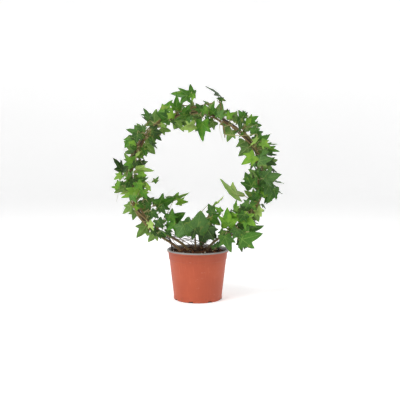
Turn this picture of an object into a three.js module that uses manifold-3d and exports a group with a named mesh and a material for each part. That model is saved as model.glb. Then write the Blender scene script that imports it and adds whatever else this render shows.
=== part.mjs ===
// Potted ivy trained on a wire hoop: a plastic nursery pot, its soil, the hoop and the shoots
// that wind along it. Millimetres, +Z up, +X to the right, the viewer on the -Y side.
// The origin is the middle of the pot's flat base, so the whole plant stands on z = 0.
import * as THREE from 'three';
import { mergeVertices } from 'three/addons/utils/BufferGeometryUtils.js';
import Module from 'manifold-3d';

const wasm = await Module();
wasm.setup();

// ---------------------------------------------------------------- driving dimensions
// Pot
const POT_HEIGHT = 98;
const POT_BASE_RADIUS = 46.6;     // outside, at the floor
const POT_WAIST_RADIUS = 53.4;    // outside, just under the upper band
const BAND_HEIGHT = 19;           // upper band, measured down from the rim
const BAND_STEP = 1.6;            // how far the band stands out from the wall below it
const RIM_RADIUS = 60;
const LIP_HEIGHT = 6;
const WALL = 1.5;
const FLOOR = 1.6;
const FOOT_HEIGHT = 6.5;
const FOOT_STEP = 0.6;
const POT_SIDES = 40;
const DRAIN_COUNT = 8;
const DRAIN_WIDTH = 8;
const DRAIN_HEIGHT = 3;
const DRAIN_REACH = 9;            // from the outside of the wall inwards
// Soil
const SOIL_BELOW_RIM = 6;
const SOIL_MOUND = 5;             // how much the middle stands above the edge
const CLEARANCE = 0.3;            // left between pieces that touch
const SLEEVE = 0.39;              // left round the wire and the stems where they enter the soil
// Hoop
const HOOP_RADIUS = 126.5;
const HOOP_ABOVE_RIM = 136;       // centre of the ring above the rim
const HOOP_SHIFT = -5;            // the ring stands a little off the pot's axis
const LEG_INSET = 5.5;            // from the inside of the pot's wall to the nearer leg
const LEG_BEND = 14;              // bend between leg and ring
const LEG_END = 14;               // lower end of the legs above the floor
const WIRE_RADIUS = 1.6;
const WIRE_SIDES = 6;
const WIRE_STEPS = 76;
// Shoots
const STEM_BASE_RADIUS = 1.8;
const STEM_TIP_RADIUS = 0.85;
const STEM_SIDES = 5;
const STEM_STEP = 15;             // length of one straight piece of a stem
const BUNDLE_RADIUS = 5.4;        // from the wire to the stems that wind round it
const CROWN_RADIUS = 13;          // the ring of stems where they leave the soil
const CROWN_SPREAD = 22;          // each crown from the pot's axis
const ROOTED_DEPTH = 12;          // how deep a stem goes into the soil
const STEM_ROOM = 0.8;            // between one stem and the next, or the wire
const SETTLE_ROUNDS = 80;
const JOIN_CLOCK = 146;           // where the stems reach the ring, degrees from its top
const WINDING_TURNS = 4.625;      // from one joining place to the other
// Leaves
const BLADE_HALF = 0.55;          // half the thickness where the veins meet
const PETIOLE_RADIUS = 0.6;
const SHARPEST_BEND = 1.75;       // of a stalk under its blade, in radians
const LEAST_SLANT = 0.45;         // sine of the angle at which a stalk meets its stem
const DEPTH_SPREAD = 1.35;        // how far leaves stand out in depth, against the list below
const OWN_NODES = 44;             // the longest leaves are pieces of their own
const BACK_LEAVES = 50;           // leaves behind the ring, spread evenly
const TRIES = 60;                 // places tried for a leaf before it is made smaller
const SHRINK_STEP = 0.86;
const LEAST_SHARE = 0.1;          // of its wanted length, below which a leaf is left out
const SEED = 20;

// Shoots that follow the ring: side (-1 left, 1 right), quarter of the bundle, clock angle where
// the shoot leaves the bundle, then its tip: clock angle, distance outside the wire, depth.
const SHOOTS = [
  ['left_shoot_1', -1, 0, -9, -3, 34, -4],
  ['left_shoot_2', -1, 1, 6, 17, 30, 2],
  ['left_shoot_3', -1, 2, -46, -35, 18, 0],
  ['left_shoot_4', -1, 3, 26, 36, -30, -8],
  ['right_shoot_1', 1, 0, -9, -18, 24, 0],
  ['right_shoot_2', 1, 1, 3, 13, 22, -8],
  ['right_shoot_3', 1, 2, 50, 44, 16, -6],
  ['right_shoot_4', 1, 3, 92, 99, 24, -4],
];

// Short shoots low in the ring: foot x, y and tip x, y, height above the rim.
const LOW_SHOOTS = [
  ['low_shoot_1', -4, -12, -10, -16, 62],
  ['low_shoot_2', 6, 2, 30, -6, 84],
  ['low_shoot_3', 14, -16, 56, -22, 30],
];

// Leaves seen from the front, set by hand. Place of the blade's junction with its stalk: clock
// angle on the ring in degrees, distance outside the wire, depth (minus is towards the viewer).
// Then the way the tip points in degrees from straight up, the length and the breadth as seen
// (a blade seen narrow is turned about its midrib), and which edge comes forward: 1 the left,
// -1 the right, doubled where the leaf shows its underside.
const LEAVES = [
  // crown of the ring
  [-3, 31, -4, -4, 24, 0.75, 1],
  [-5, 32, 2, -80, 35, 0.5, 1],
  [-2, 33, -10, -178, 15, 0.8, -1],
  [-1, 34, 0, 138, 14, 0.45, 1],
  [-15, 13, -8, 8, 27, 0.7, 1],
  [-25, 16, 0, 33, 31, 0.7, -1],
  [-21, 0, -14, 5, 18, 0.8, 1],
  [-24, -2, -8, -62, 29, 0.75, -1],
  [-8, 3, -10, 32, 17, 0.9, 1],
  [4, 6, -4, -32, 18, 0.7, 1],
  [8, 2, -12, -3, 17, 0.9, 1],
  [10, 19, 6, -55, 14, 0.4, 1],
  [15, 4, -6, -4, 19, 0.8, -1],
  [17, 39, 0, -54, 37, 0.3, 1],
  [17, 35, -4, -85, 7, 0.8, 1],
  [18, 33, -6, 107, 12, 0.9, -1],
  [21, 1, -12, 29, 18, 1, 1],
  [27, 15, 4, -22, 11, 0.5, -1],
  [27, 8, -8, 65, 18, 0.9, 1],
  [25, 1, -20, -122, 16, 0.9, 2],
  [-6, -5, -16, -176, 15, 0.6, 1],
  [0, -9, -16, 98, 15, 0.4, 1],
  [11, -8, -12, 163, 15, 0.7, 1],
  [-7, -3, -18, -114, 31, 0.5, -1],
  [-21, -7, -14, 156, 12, 0.7, 1],
  [-2, -24, -6, -109, 29, 0.6, 2],
  [7, -19, -10, -177, 38, 0.75, 1],
  [-37, 17, 0, -29, 25, 0.45, 1],
  [-39, 19, 4, -66, 16, 0.4, -1],
  [-32, -4, -14, 127, 13, 0.8, 2],
  // upper left
  [-42, -4, -16, 100, 22, 1, 1],
  [-42, -13, -12, 133, 17, 0.9, -1],
  [-50, -17, -4, 139, 18, 0.4, 1],
  [-48, -12, -20, 160, 14, 0.5, -1],
  [-51, 13, -16, -68, 24, 0.9, 1],
  [-48, 13, -8, -47, 17, 0.8, 1],
  [-47, 9, -14, 17, 15, 0.7, -1],
  [-62, 26, 2, 5, 20, 0.25, 1],
  [-58, 18, -6, -139, 23, 0.8, 1],
  [-52, 10, -20, -167, 18, 1, -1],
  [-59, 7, -14, -77, 13, 0.8, 1],
  [-62, 1, -18, -81, 13, 0.8, -1],
  [-66, 4, -10, -88, 16, 0.5, 1],
  [-59, -13, -10, 159, 17, 0.7, -1],
  [-56, 14, -8, -59, 11, 0.8, -1],
  [-40, 1, -10, 124, 14, 0.8, 1],
  [-74, 5, -8, -29, 12, 0.8, -1],
  // left
  [-83, 17, 0, -32, 30, 0.5, 1],
  [-72, 0, -12, -66, 12, 0.6, 2],
  [-73, -5, -16, -113, 24, 0.9, -1],
  [-76, 0, -14, -160, 20, 0.9, 1],
  [-74, -9, -22, -166, 20, 1, -1],
  [-65, -9, -14, -145, 17, 0.5, 2],
  [-67, -9, -8, 122, 11, 0.5, -1],
  [-71, -12, -16, 153, 18, 0.8, -1],
  [-80, -15, -12, 94, 35, 0.6, 2],
  [-85, -19, -14, 99, 17, 0.9, 1],
  [-93, -14, -8, 73, 27, 0.35, 1],
  [-102, -35, -10, -13, 15, 0.5, 1],
  [-94, -48, 0, 39, 14, 0.8, 1],
  [-87, 16, -8, -121, 17, 0.9, 1],
  [-96, 23, -2, -92, 15, 0.85, -1],
  [-92, 19, -12, -169, 15, 0.8, 1],
  [-92, 8, -12, -131, 10, 0.9, -1],
  [-85, -2, -18, -173, 22, 0.6, 1],
  [-93, -17, -18, 149, 20, 0.9, -1],
  [-93, 0, -16, -153, 19, 0.8, 1],
  [-101, -15, -12, -120, 38, 0.6, -1],
  [-100, 7, -4, -119, 16, 0.6, 2],
  [-97, 25, 4, -170, 11, 0.4, -1],
  [-104, -2, -10, 151, 20, 0.8, 1],
  [-114, -6, -8, -166, 15, 0.7, -1],
  [-103, -25, -20, 153, 17, 0.9, 1],
  [-124, -35, -12, 2, 14, 0.8, -1],
  [-116, -27, -18, 167, 18, 0.7, -1],
  [-80, 4, -6, -133, 17, 0.9, 1],
  [-84, -3, -10, -157, 25, 0.8, -1],
  [-90, -10, -6, -166, 24, 0.7, 1],
  [-71, -19, -6, -176, 16, 0.6, -1],
  [-109, -24, -4, 153, 17, 0.8, 1],
  [-115, -11, -8, 130, 15, 0.8, -1],
  // lower left
  [-125, -42, -12, 71, 37, 0.8, 1],
  [-130, -67, 0, 77, 39, 0.2, 1],
  [-144, -72, -6, 92, 22, 0.6, 1],
  [-133, -2, -8, -67, 29, 0.6, 2],
  [-134, -1, -4, -155, 13, 0.5, -1],
  [-134, -5, -12, 149, 19, 0.75, 2],
  [-141, 0, -6, 162, 16, 0.8, -1],
  [-129, -43, -18, 148, 18, 0.9, 1],
  [-127, -23, -20, 127, 19, 1, -1],
  [-150, -35, -8, 60, 33, 1, 1],
  [-145, -43, -16, 153, 24, 1, 1],
  [-138, -21, -18, 152, 21, 1, 1],
  [-148, -23, -6, 135, 14, 0.7, -1],
  [-147, -5, -16, 118, 25, 0.4, 2],
  // low in the middle
  [-174, -42, -26, -136, 36, 1.1, -1],
  [178, -29, -30, 10, 45, 0.95, 1],
  [-178, -35, -22, -174, 28, 1, -1],
  [167, -37, -18, 109, 30, 1, 1],
  [166, -32, -24, -159, 41, 1.1, -1],
  [165, -28, -14, 143, 29, 0.9, 1],
  [152, -7, -40, 160, 32, 0.9, -1],
  [154, -56, -12, -26, 20, 0.9, 1],
  [148, -62, -6, 56, 31, 0.4, 1],
  [142, -48, -10, -50, 16, 0.8, 1],
  [144, -19, -16, -3, 36, 0.85, -1],
  [142, -28, -8, 30, 25, 0.5, 1],
  [127, -29, -8, 0, 21, 0.6, -1],
  [159, -49, -14, 127, 29, 1, 1],
  [-164, -33, -18, -145, 24, 0.9, 1],
  [156, -43, -8, 166, 16, 0.9, -1],
  // lower right
  [142, 18, -20, 76, 45, 1, -1],
  [137, 10, -10, 81, 40, 0.5, 1],
  [141, 24, -16, 134, 25, 0.9, -1],
  [144, 23, -12, -179, 23, 0.7, 1],
  [138, 9, -26, -102, 23, 0.7, 1],
  [128, -7, -16, 121, 28, 1, 1],
  [127, 10, 0, 114, 16, 0.3, 1],
  [116, 7, -8, 149, 17, 1, 2],
  [111, 12, -2, 138, 12, 0.5, -1],
  [134, -26, -14, 125, 19, 0.8, 1],
  [118, -12, -18, -135, 19, 1, -1],
  [114, -10, -14, 135, 18, 0.9, 1],
  [114, -16, -20, -103, 17, 1, 1],
  [110, -11, -12, 45, 19, 0.9, -1],
  [125, -13, -16, -142, 22, 0.9, 1],
  [140, -2, -18, -158, 21, 0.9, -1],
  [134, 22, -12, -148, 25, 0.8, 1],
  // upper right
  [39, 21, -14, -35, 20, 1, 1],
  [43, 26, -12, 61, 20, 1.1, -1],
  [32, 16, -10, 135, 14, 0.35, 2],
  [37, 17, -18, -171, 24, 0.6, 1],
  [41, 24, -14, -165, 19, 0.6, -1],
  [47, 25, -12, 90, 16, 0.9, -1],
  [42, -3, -6, -121, 12, 0.4, 1],
  [46, -2, -6, -142, 12, 0.4, -1],
  [53, 17, -10, 75, 18, 0.9, 1],
  [58, 27, 2, 76, 19, 0.25, 1],
  [59, 14, -14, 63, 26, 1, 1],
  [61, 16, -16, 123, 21, 0.9, -1],
  [64, 28, -4, 96, 20, 0.35, 1],
  [67, 26, -6, 114, 24, 0.45, 1],
  [55, 13, -16, -139, 24, 0.7, 2],
  [68, -8, -18, -126, 30, 0.9, -1],
  [72, -9, -14, 167, 21, 0.55, 1],
  [67, -9, -10, -82, 16, 0.6, 1],
  [39, 26, -8, -27, 13, 0.9, -1],
  [49, 14, -6, 74, 14, 0.8, 1],
  [49, 23, -14, -143, 19, 0.6, -1],
  // right
  [74, 0, -18, 75, 29, 1, -1],
  [71, 23, 4, 102, 19, 0.3, 1],
  [76, 4, -14, 134, 18, 1, 2],
  [75, 12, -6, 112, 29, 0.7, 1],
  [83, 22, -2, 116, 13, 0.6, -1],
  [89, 4, -14, 83, 38, 0.8, 1],
  [97, -18, -14, -28, 33, 0.9, -1],
  [92, -14, -4, -10, 20, 0.35, 1],
  [92, 31, 2, 105, 17, 0.2, 1],
  [98, 30, 2, 120, 19, 0.3, 1],
  [97, 25, -10, -158, 34, 0.8, -1],
  [101, 24, -4, 177, 17, 0.5, 1],
  [103, -3, -14, -125, 24, 0.8, 1],
  [105, 0, -18, -39, 14, 0.6, 1],
  [111, -40, -4, -51, 50, 0.45, 2],
  [82, -7, -20, 169, 20, 0.6, 1],
  [91, 11, -16, 139, 18, 0.9, -1],
  [97, 5, -18, 180, 21, 1, 1],
  [68, 18, -18, -130, 15, 0.8, -1],
  [87, 12, -8, -69, 17, 0.8, -1],
  [96, 16, -8, -149, 23, 0.9, 1],
  [103, 11, -14, -50, 15, 0.8, -1],
  [103, 23, -12, -139, 18, 0.8, 1],
];

// ---------------------------------------------------------------- worked out from the above
const RIM_INNER = RIM_RADIUS - LIP_HEIGHT * 0.45;
const BAND_FOOT = POT_HEIGHT - BAND_HEIGHT;
const BAND_LOW_RADIUS = POT_WAIST_RADIUS + BAND_STEP;
const BAND_TOP_RADIUS = BAND_LOW_RADIUS + 1.2;
const SOIL_EDGE = POT_HEIGHT - SOIL_BELOW_RIM;
const HOOP = new THREE.Vector3(HOOP_SHIFT, 0, POT_HEIGHT + HOOP_ABOVE_RIM);
const JOIN = THREE.MathUtils.degToRad(JOIN_CLOCK);
const TWIST = WINDING_TURNS * Math.PI / JOIN;
const DEPTH = new THREE.Vector3(0, 1, 0);

const COLOURS = {
  pot: [0xb9603f, 0.55],
  soil: [0x3a2716, 0.95],
  wire: [0x2e2620, 0.5],
  shoot: [0x4a7a2c, 0.6],
  leaf: [0x3f7a2e, 0.45],
};

let seed = SEED;
/** Repeatable random number between low and high. */
function random(low = 0, high = 1) {
  seed = (seed + 0x6d2b79f5) | 0;
  let t = Math.imul(seed ^ (seed >>> 15), 1 | seed);
  t = (t + Math.imul(t ^ (t >>> 7), 61 | t)) ^ t;
  return low + (high - low) * (((t ^ (t >>> 14)) >>> 0) / 4294967296);
}

/** Point beside the ring: clock angle in radians, distance outside the wire, depth. */
function besideHoop(clock, out, depth) {
  const r = HOOP_RADIUS + out;
  return new THREE.Vector3(HOOP.x + r * Math.sin(clock), depth, HOOP.z + r * Math.cos(clock));
}

// ---------------------------------------------------------------- solids and meshes
/** Closed geometry to a solid that can be joined or cut. */
function solidOf(geometry) {
  const bare = new THREE.BufferGeometry();
  bare.setAttribute('position', geometry.getAttribute('position'));
  if (geometry.index) bare.setIndex(geometry.index);
  const merged = mergeVertices(bare, 1e-4);
  return new wasm.Manifold(new wasm.Mesh({
    numProp: 3,
    vertProperties: new Float32Array(merged.getAttribute('position').array),
    triVerts: new Uint32Array(merged.index.array),
  }));
}

/** Solid back to a named mesh with its own material. */
function meshOf(name, solid, [colour, roughness]) {
  const data = solid.getMesh();
  const geometry = new THREE.BufferGeometry();
  geometry.setAttribute('position', new THREE.BufferAttribute(new Float32Array(data.vertProperties), 3));
  geometry.setIndex(new THREE.BufferAttribute(new Uint32Array(data.triVerts), 1));
  geometry.computeVertexNormals();
  const material = new THREE.MeshStandardMaterial({ color: colour, roughness, metalness: 0 });
  const mesh = new THREE.Mesh(geometry, material);
  mesh.name = name;
  return mesh;
}

/** Closed geometry from a list of points and triangles. */
function polyhedron(points, faces) {
  const geometry = new THREE.BufferGeometry();
  geometry.setAttribute('position', new THREE.Float32BufferAttribute(points.flatMap((p) => p.toArray()), 3));
  geometry.setIndex(faces.flat());
  return geometry;
}

/** Lathe round the Z axis from a profile of [radius, height] pairs. */
function lathe(profile, sides) {
  const points = profile.map(([r, z]) => new THREE.Vector2(r, z));
  return solidOf(new THREE.LatheGeometry(points, sides).rotateX(Math.PI / 2));
}

/** Closed tube with flat ends along a line of points, with a radius at each. */
function tube(points, radii, sides) {
  const rings = [];
  let across = new THREE.Vector3();
  points.forEach((point, i) => {
    const before = points[Math.max(i - 1, 0)];
    const after = points[Math.min(i + 1, points.length - 1)];
    const along = after.clone().sub(before).normalize();
    if (i === 0) across.set(0, 1, 0).addScaledVector(along, -along.y);
    across.addScaledVector(along, -across.dot(along)).normalize();
    const up = along.clone().cross(across);
    for (let k = 0; k < sides; k += 1) {
      const turn = 2 * Math.PI * k / sides;
      rings.push(point.clone().addScaledVector(across, radii[i] * Math.cos(turn))
        .addScaledVector(up, radii[i] * Math.sin(turn)));
    }
  });
  const faces = [];
  const last = (points.length - 1) * sides;
  for (let i = 0; i < last; i += sides) {
    for (let k = 0; k < sides; k += 1) {
      const n = (k + 1) % sides;
      faces.push([i + k, i + n, i + sides + n], [i + k, i + sides + n, i + sides + k]);
    }
  }
  for (let k = 1; k < sides - 1; k += 1) {
    faces.push([0, k + 1, k], [last, last + k, last + k + 1]);
  }
  return solidOf(polyhedron(rings, faces));
}

// ---------------------------------------------------------------- pot and soil
/** Inside radius of the pot's wall at a height. */
function wallInside(z) {
  if (z > BAND_FOOT) {
    return THREE.MathUtils.mapLinear(z, BAND_FOOT, POT_HEIGHT, BAND_LOW_RADIUS, BAND_TOP_RADIUS) - WALL;
  }
  return THREE.MathUtils.mapLinear(z, 0, BAND_FOOT, POT_BASE_RADIUS, POT_WAIST_RADIUS) - WALL;
}

function pot() {
  const lipFoot = POT_HEIGHT - LIP_HEIGHT;
  const shell = lathe([
    [0, 0],
    [POT_BASE_RADIUS - 1, 0],
    [POT_BASE_RADIUS + FOOT_STEP, 1],
    [POT_BASE_RADIUS + FOOT_STEP, FOOT_HEIGHT],
    [POT_BASE_RADIUS + FOOT_STEP * 0.6, FOOT_HEIGHT + FOOT_STEP],
    [POT_WAIST_RADIUS, BAND_FOOT - BAND_STEP],
    [BAND_LOW_RADIUS, BAND_FOOT],
    [BAND_TOP_RADIUS, lipFoot],
    [RIM_RADIUS - 0.8, lipFoot + 0.2],
    [RIM_RADIUS, lipFoot + 1.2],
    [RIM_RADIUS, POT_HEIGHT - 1.6],
    [RIM_RADIUS - 1.2, POT_HEIGHT],
    [RIM_INNER, POT_HEIGHT],
    [wallInside(lipFoot) + 0.4, POT_HEIGHT - 1.6],
    [wallInside(lipFoot), lipFoot],
    [wallInside(BAND_FOOT + 0.1), BAND_FOOT],
    [wallInside(BAND_FOOT - BAND_STEP), BAND_FOOT - BAND_STEP],
    [wallInside(FLOOR), FLOOR],
    [0, FLOOR],
  ], POT_SIDES);
  const notches = [];
  for (let i = 0; i < DRAIN_COUNT; i += 1) {
    const box = new THREE.BoxGeometry(2 * DRAIN_REACH, DRAIN_WIDTH, 2 * DRAIN_HEIGHT);
    box.translate(POT_BASE_RADIUS, 0, 0);
    box.rotateZ(2 * Math.PI * (i + 0.5) / DRAIN_COUNT);
    notches.push(solidOf(box));
  }
  return shell.subtract(wasm.Manifold.union(notches));
}

/** Height of the soil's surface at a distance from the axis. */
function soilTop(r) {
  const edge = wallInside(SOIL_EDGE);
  return SOIL_EDGE + SOIL_MOUND * Math.cos(Math.min(r / edge, 1) * Math.PI / 2);
}

/** Root ball and soil: fills the pot, mounds up to the middle, and is cut where things enter it. */
function soil(entering) {
  const profile = [[0, FLOOR + CLEARANCE]];
  for (const z of [FLOOR + CLEARANCE, BAND_FOOT - BAND_STEP - CLEARANCE, BAND_FOOT + BAND_STEP, SOIL_EDGE]) {
    profile.push([wallInside(z) - CLEARANCE, z]);
  }
  const edge = wallInside(SOIL_EDGE) - CLEARANCE;
  for (const share of [0.86, 0.66, 0.4, 0]) {
    profile.push([edge * share, soilTop(edge * share)]);
  }
  return lathe(profile, POT_SIDES - 4).subtract(wasm.Manifold.union(entering));
}

// ---------------------------------------------------------------- hoop
/** Middle line of the wire: leg, bend, ring, bend, leg. */
class HoopLine extends THREE.Curve {
  constructor() {
    super();
    // the legs lean as the pot's wall does; the bend touches both the leg and the ring
    const lean = Math.atan2(wallInside(BAND_FOOT - BAND_STEP) - wallInside(0), BAND_FOOT - BAND_STEP);
    const spread = wallInside(LEG_END) - LEG_INSET - Math.abs(HOOP.x);
    const along = new THREE.Vector2(-Math.sin(lean), Math.cos(lean));
    const aside = new THREE.Vector2(-Math.cos(lean), -Math.sin(lean));
    const foot = new THREE.Vector2(-spread, LEG_END - HOOP.z);
    const start = foot.clone().addScaledVector(aside, LEG_BEND);
    const rise = start.dot(along);
    const reach = Math.sqrt(rise ** 2 - start.lengthSq() + (HOOP_RADIUS + LEG_BEND) ** 2);
    const centre = start.addScaledVector(along, -rise - reach);
    const bend = Math.atan2(-centre.y, -centre.x);
    const knee = foot.clone().addScaledVector(along, -rise - reach);
    this.path = new THREE.Path();
    this.path.moveTo(foot.x, foot.y);
    this.path.lineTo(knee.x, knee.y);
    this.path.absarc(centre.x, centre.y, LEG_BEND, lean, bend, false);
    this.path.absarc(0, 0, HOOP_RADIUS, Math.PI + bend, -bend, true);
    this.path.absarc(-centre.x, centre.y, LEG_BEND, Math.PI - bend, Math.PI - lean, false);
    this.path.lineTo(-foot.x, foot.y);
  }

  getPoint(t) {
    const { x, y } = this.path.getPointAt(t);
    return new THREE.Vector3(HOOP.x + x, 0, HOOP.z + y);
  }
}

/** The wire, or the room it needs in the soil when grown by a clearance. */
function wire(grow = 0) {
  const section = new THREE.Shape();
  for (let k = 0; k < WIRE_SIDES; k += 1) {
    const turn = 2 * Math.PI * (k + 0.5) / WIRE_SIDES;
    const corner = [Math.cos(turn), Math.sin(turn)].map((s) => s * (WIRE_RADIUS + grow));
    if (k === 0) section.moveTo(...corner);
    else section.lineTo(...corner);
  }
  const options = { steps: WIRE_STEPS, extrudePath: new HoopLine(), bevelEnabled: false };
  return solidOf(new THREE.ExtrudeGeometry(section, options));
}

// ---------------------------------------------------------------- stems
/** Middle line of a shoot that climbs from the soil and winds along the ring to its free tip. */
function windingLine([, side, quarter, endClock, tipClock, tipOut, tipDepth]) {
  const join = side * JOIN;
  const phaseAt = (clock) => (quarter + 0.5) * Math.PI / 2 + TWIST * (clock - join);
  const points = [];
  // the rise from the crown in the soil to the ring
  const foot = new THREE.Vector3(side * CROWN_SPREAD, 0, SOIL_EDGE - ROOTED_DEPTH);
  const met = besideHoop(join, 0, 0);
  const ahead = new THREE.Vector3(Math.cos(join), 0, -Math.sin(join)).multiplyScalar(-side);
  const rise = new THREE.CubicBezierCurve3(
    foot,
    foot.clone().add(new THREE.Vector3(0, 0, ROOTED_DEPTH + 12)),
    met.clone().addScaledVector(ahead, -22),
    met,
  );
  const riseSteps = Math.ceil(rise.getLength() / STEM_STEP * 1.6);
  for (let i = 0; i < riseSteps; i += 1) {
    const t = i / riseSteps;
    const along = rise.getTangentAt(t);
    const outward = new THREE.Vector3(along.z, 0, -along.x).multiplyScalar(side);
    const spread = THREE.MathUtils.lerp(CROWN_RADIUS, BUNDLE_RADIUS, Math.sqrt(t));
    points.push(rise.getPointAt(t)
      .addScaledVector(outward, spread * Math.cos(phaseAt(join)))
      .addScaledVector(DEPTH, spread * Math.sin(phaseAt(join))));
  }
  // the winding stretch, which ends where the shoot lies on the side its tip leaves from
  const wanted = tipOut > 0 ? 0 : Math.PI;
  const aim = THREE.MathUtils.degToRad(endClock);
  const turns = Math.round((phaseAt(aim) - wanted) / (2 * Math.PI));
  const end = aim + (wanted + 2 * Math.PI * turns - phaseAt(aim)) / TWIST;
  const windSteps = Math.ceil(HOOP_RADIUS * Math.abs(end - join) / STEM_STEP);
  for (let i = 0; i <= windSteps; i += 1) {
    const clock = THREE.MathUtils.lerp(join, end, i / windSteps);
    points.push(besideHoop(clock, BUNDLE_RADIUS * Math.cos(phaseAt(clock)),
      BUNDLE_RADIUS * Math.sin(phaseAt(clock))));
  }
  // the free tip
  const from = points[points.length - 1];
  const heading = from.clone().sub(points[points.length - 2]).normalize();
  const tip = besideHoop(THREE.MathUtils.degToRad(tipClock), tipOut, tipDepth);
  const free = new THREE.QuadraticBezierCurve3(from,
    from.clone().addScaledVector(heading, from.distanceTo(tip) * 0.45), tip);
  const freeSteps = Math.ceil(free.getLength() / STEM_STEP);
  points.push(...free.getSpacedPoints(freeSteps).slice(1));
  return points;
}

/** Middle line of a short shoot that stands in the lower part of the ring. */
function lowLine([, footX, footY, tipX, tipY, height]) {
  const foot = new THREE.Vector3(footX, footY, SOIL_EDGE - ROOTED_DEPTH);
  const tip = new THREE.Vector3(tipX, tipY, POT_HEIGHT + height);
  const curve = new THREE.QuadraticBezierCurve3(foot,
    new THREE.Vector3(footX, footY, foot.z + (tip.z - foot.z) * 0.6), tip);
  return curve.getSpacedPoints(Math.ceil(curve.getLength() / STEM_STEP));
}

/** Thickness of a shoot, thinning towards its tip. */
function stemRadii(count) {
  return Array.from({ length: count }, (_, i) =>
    THREE.MathUtils.lerp(STEM_BASE_RADIUS, STEM_TIP_RADIUS, i / (count - 1)));
}

/** Pushes stems apart, and away from the wire, until each has its clearance. */
function settle(stems, fixed) {
  const [piece, other] = [new THREE.Line3(), new THREE.Line3()];
  const [near, far] = [new THREE.Vector3(), new THREE.Vector3()];
  let moved = true;
  for (let round = 0; moved && round < SETTLE_ROUNDS; round += 1) {
    moved = false;
    for (const stem of stems) {
      for (const neighbour of [...stems, fixed]) {
        if (neighbour === stem) continue;
        for (let j = 1; j < neighbour.points.length; j += 1) {
          other.set(neighbour.points[j - 1], neighbour.points[j]);
          for (let i = 1; i < stem.points.length; i += 1) {
            piece.set(stem.points[i - 1], stem.points[i]);
            if (Math.abs(piece.end.x - other.start.x) > 2 * STEM_STEP) continue;
            if (Math.abs(piece.end.z - other.start.z) > 2 * STEM_STEP) continue;
            const room = stem.radii[i - 1] + neighbour.radii[j - 1] + STEM_ROOM;
            const gap = Math.sqrt(piece.distanceSqToLine3(other, near, far));
            if (gap >= room || gap === 0) continue;
            const share = near.distanceTo(piece.start) / piece.distance();
            const push = near.clone().sub(far).multiplyScalar((room - gap) * 0.5 / gap);
            if (i > 1) stem.points[i - 1].addScaledVector(push, 1 - share);
            stem.points[i].addScaledVector(push, share);
            moved = true;
          }
        }
      }
    }
  }
}

// ---------------------------------------------------------------- leaves
/** Shape of one blade: five lobes round the junction, in its own plane, as shares of its length. */
function outline({ breadth, basal, lobing }) {
  const half = [
    [0.15 * breadth, 0.73],                         // shoulder of the middle lobe
    [(0.14 + 0.1 * lobing) * breadth, 0.43],
    [0.57 * breadth, 0.5],                          // side lobe
    [(0.29 + 0.07 * lobing) * breadth, 0.14],
    [0.39 * breadth, -basal],                       // lobe beside the stalk
  ];
  const left = half.map(([u, v]) => [-u, v]);
  return [[0, 1], ...left, [0, -0.03], ...half.reverse()];
}

/** How far each of those points stands above the blade's plane. */
function lift({ curl, fold }) {
  const half = [-curl * 0.3, 0.02, -fold, 0.02, -fold * 0.6];
  return [-curl, ...half, 0, ...half.slice().reverse()];
}

/** Directions of a blade: across it, along its midrib, and out of its upper face. */
function bladeFrame({ heading, lean, turn }) {
  const along = new THREE.Vector3(Math.sin(heading) * Math.cos(lean), Math.sin(lean),
    Math.cos(heading) * Math.cos(lean));
  const up = new THREE.Vector3(0, -1, 0).addScaledVector(along, along.y).normalize();
  up.applyAxisAngle(along, turn);
  return { along, up, across: along.clone().cross(up) };
}

/** The points of a blade's outline in space. */
function bladeRing(leaf) {
  const { along, up, across } = bladeFrame(leaf);
  const lifts = lift(leaf);
  return outline(leaf).map(([u, v], i) => leaf.junction.clone()
    .addScaledVector(across, u * leaf.length)
    .addScaledVector(along, (v - 0.06) * leaf.length)
    .addScaledVector(up, lifts[i] * leaf.length));
}

/** Blade with a little thickness all over: the room that a leaf takes up. */
function bladeRoom(leaf, grow) {
  const { up, along } = bladeFrame(leaf);
  const ring = bladeRing(leaf).map((p) => {
    const away = p.clone().sub(leaf.junction);
    return p.addScaledVector(away, grow / away.length());
  });
  const n = ring.length;
  const points = [
    ...ring.map((p) => p.clone().addScaledVector(up, grow)),
    ...ring.map((p) => p.clone().addScaledVector(up, -grow)),
    leaf.junction.clone().addScaledVector(up, BLADE_HALF + grow),
    leaf.junction.clone().addScaledVector(up, -BLADE_HALF - grow),
  ];
  const faces = [];
  for (let i = 0; i < n; i += 1) {
    const j = (i + 1) % n;
    faces.push([2 * n, i, j], [2 * n + 1, n + j, n + i], [i, n + i, n + j], [i, n + j, j]);
  }
  return solidOf(polyhedron(points, faces));
}

/** Middle line of a stalk, from under the blade to a place on its stem. */
function stalkLine(leaf, end) {
  const { along, up } = bladeFrame(leaf);
  const start = leaf.junction.clone().addScaledVector(up, -BLADE_HALF);
  const reach = start.distanceTo(end);
  const leaving = along.clone().multiplyScalar(-0.75).addScaledVector(up, -0.66);
  const bend = start.clone().addScaledVector(leaving, Math.min(reach * 0.4, 9));
  return { start, bend, end };
}

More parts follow.
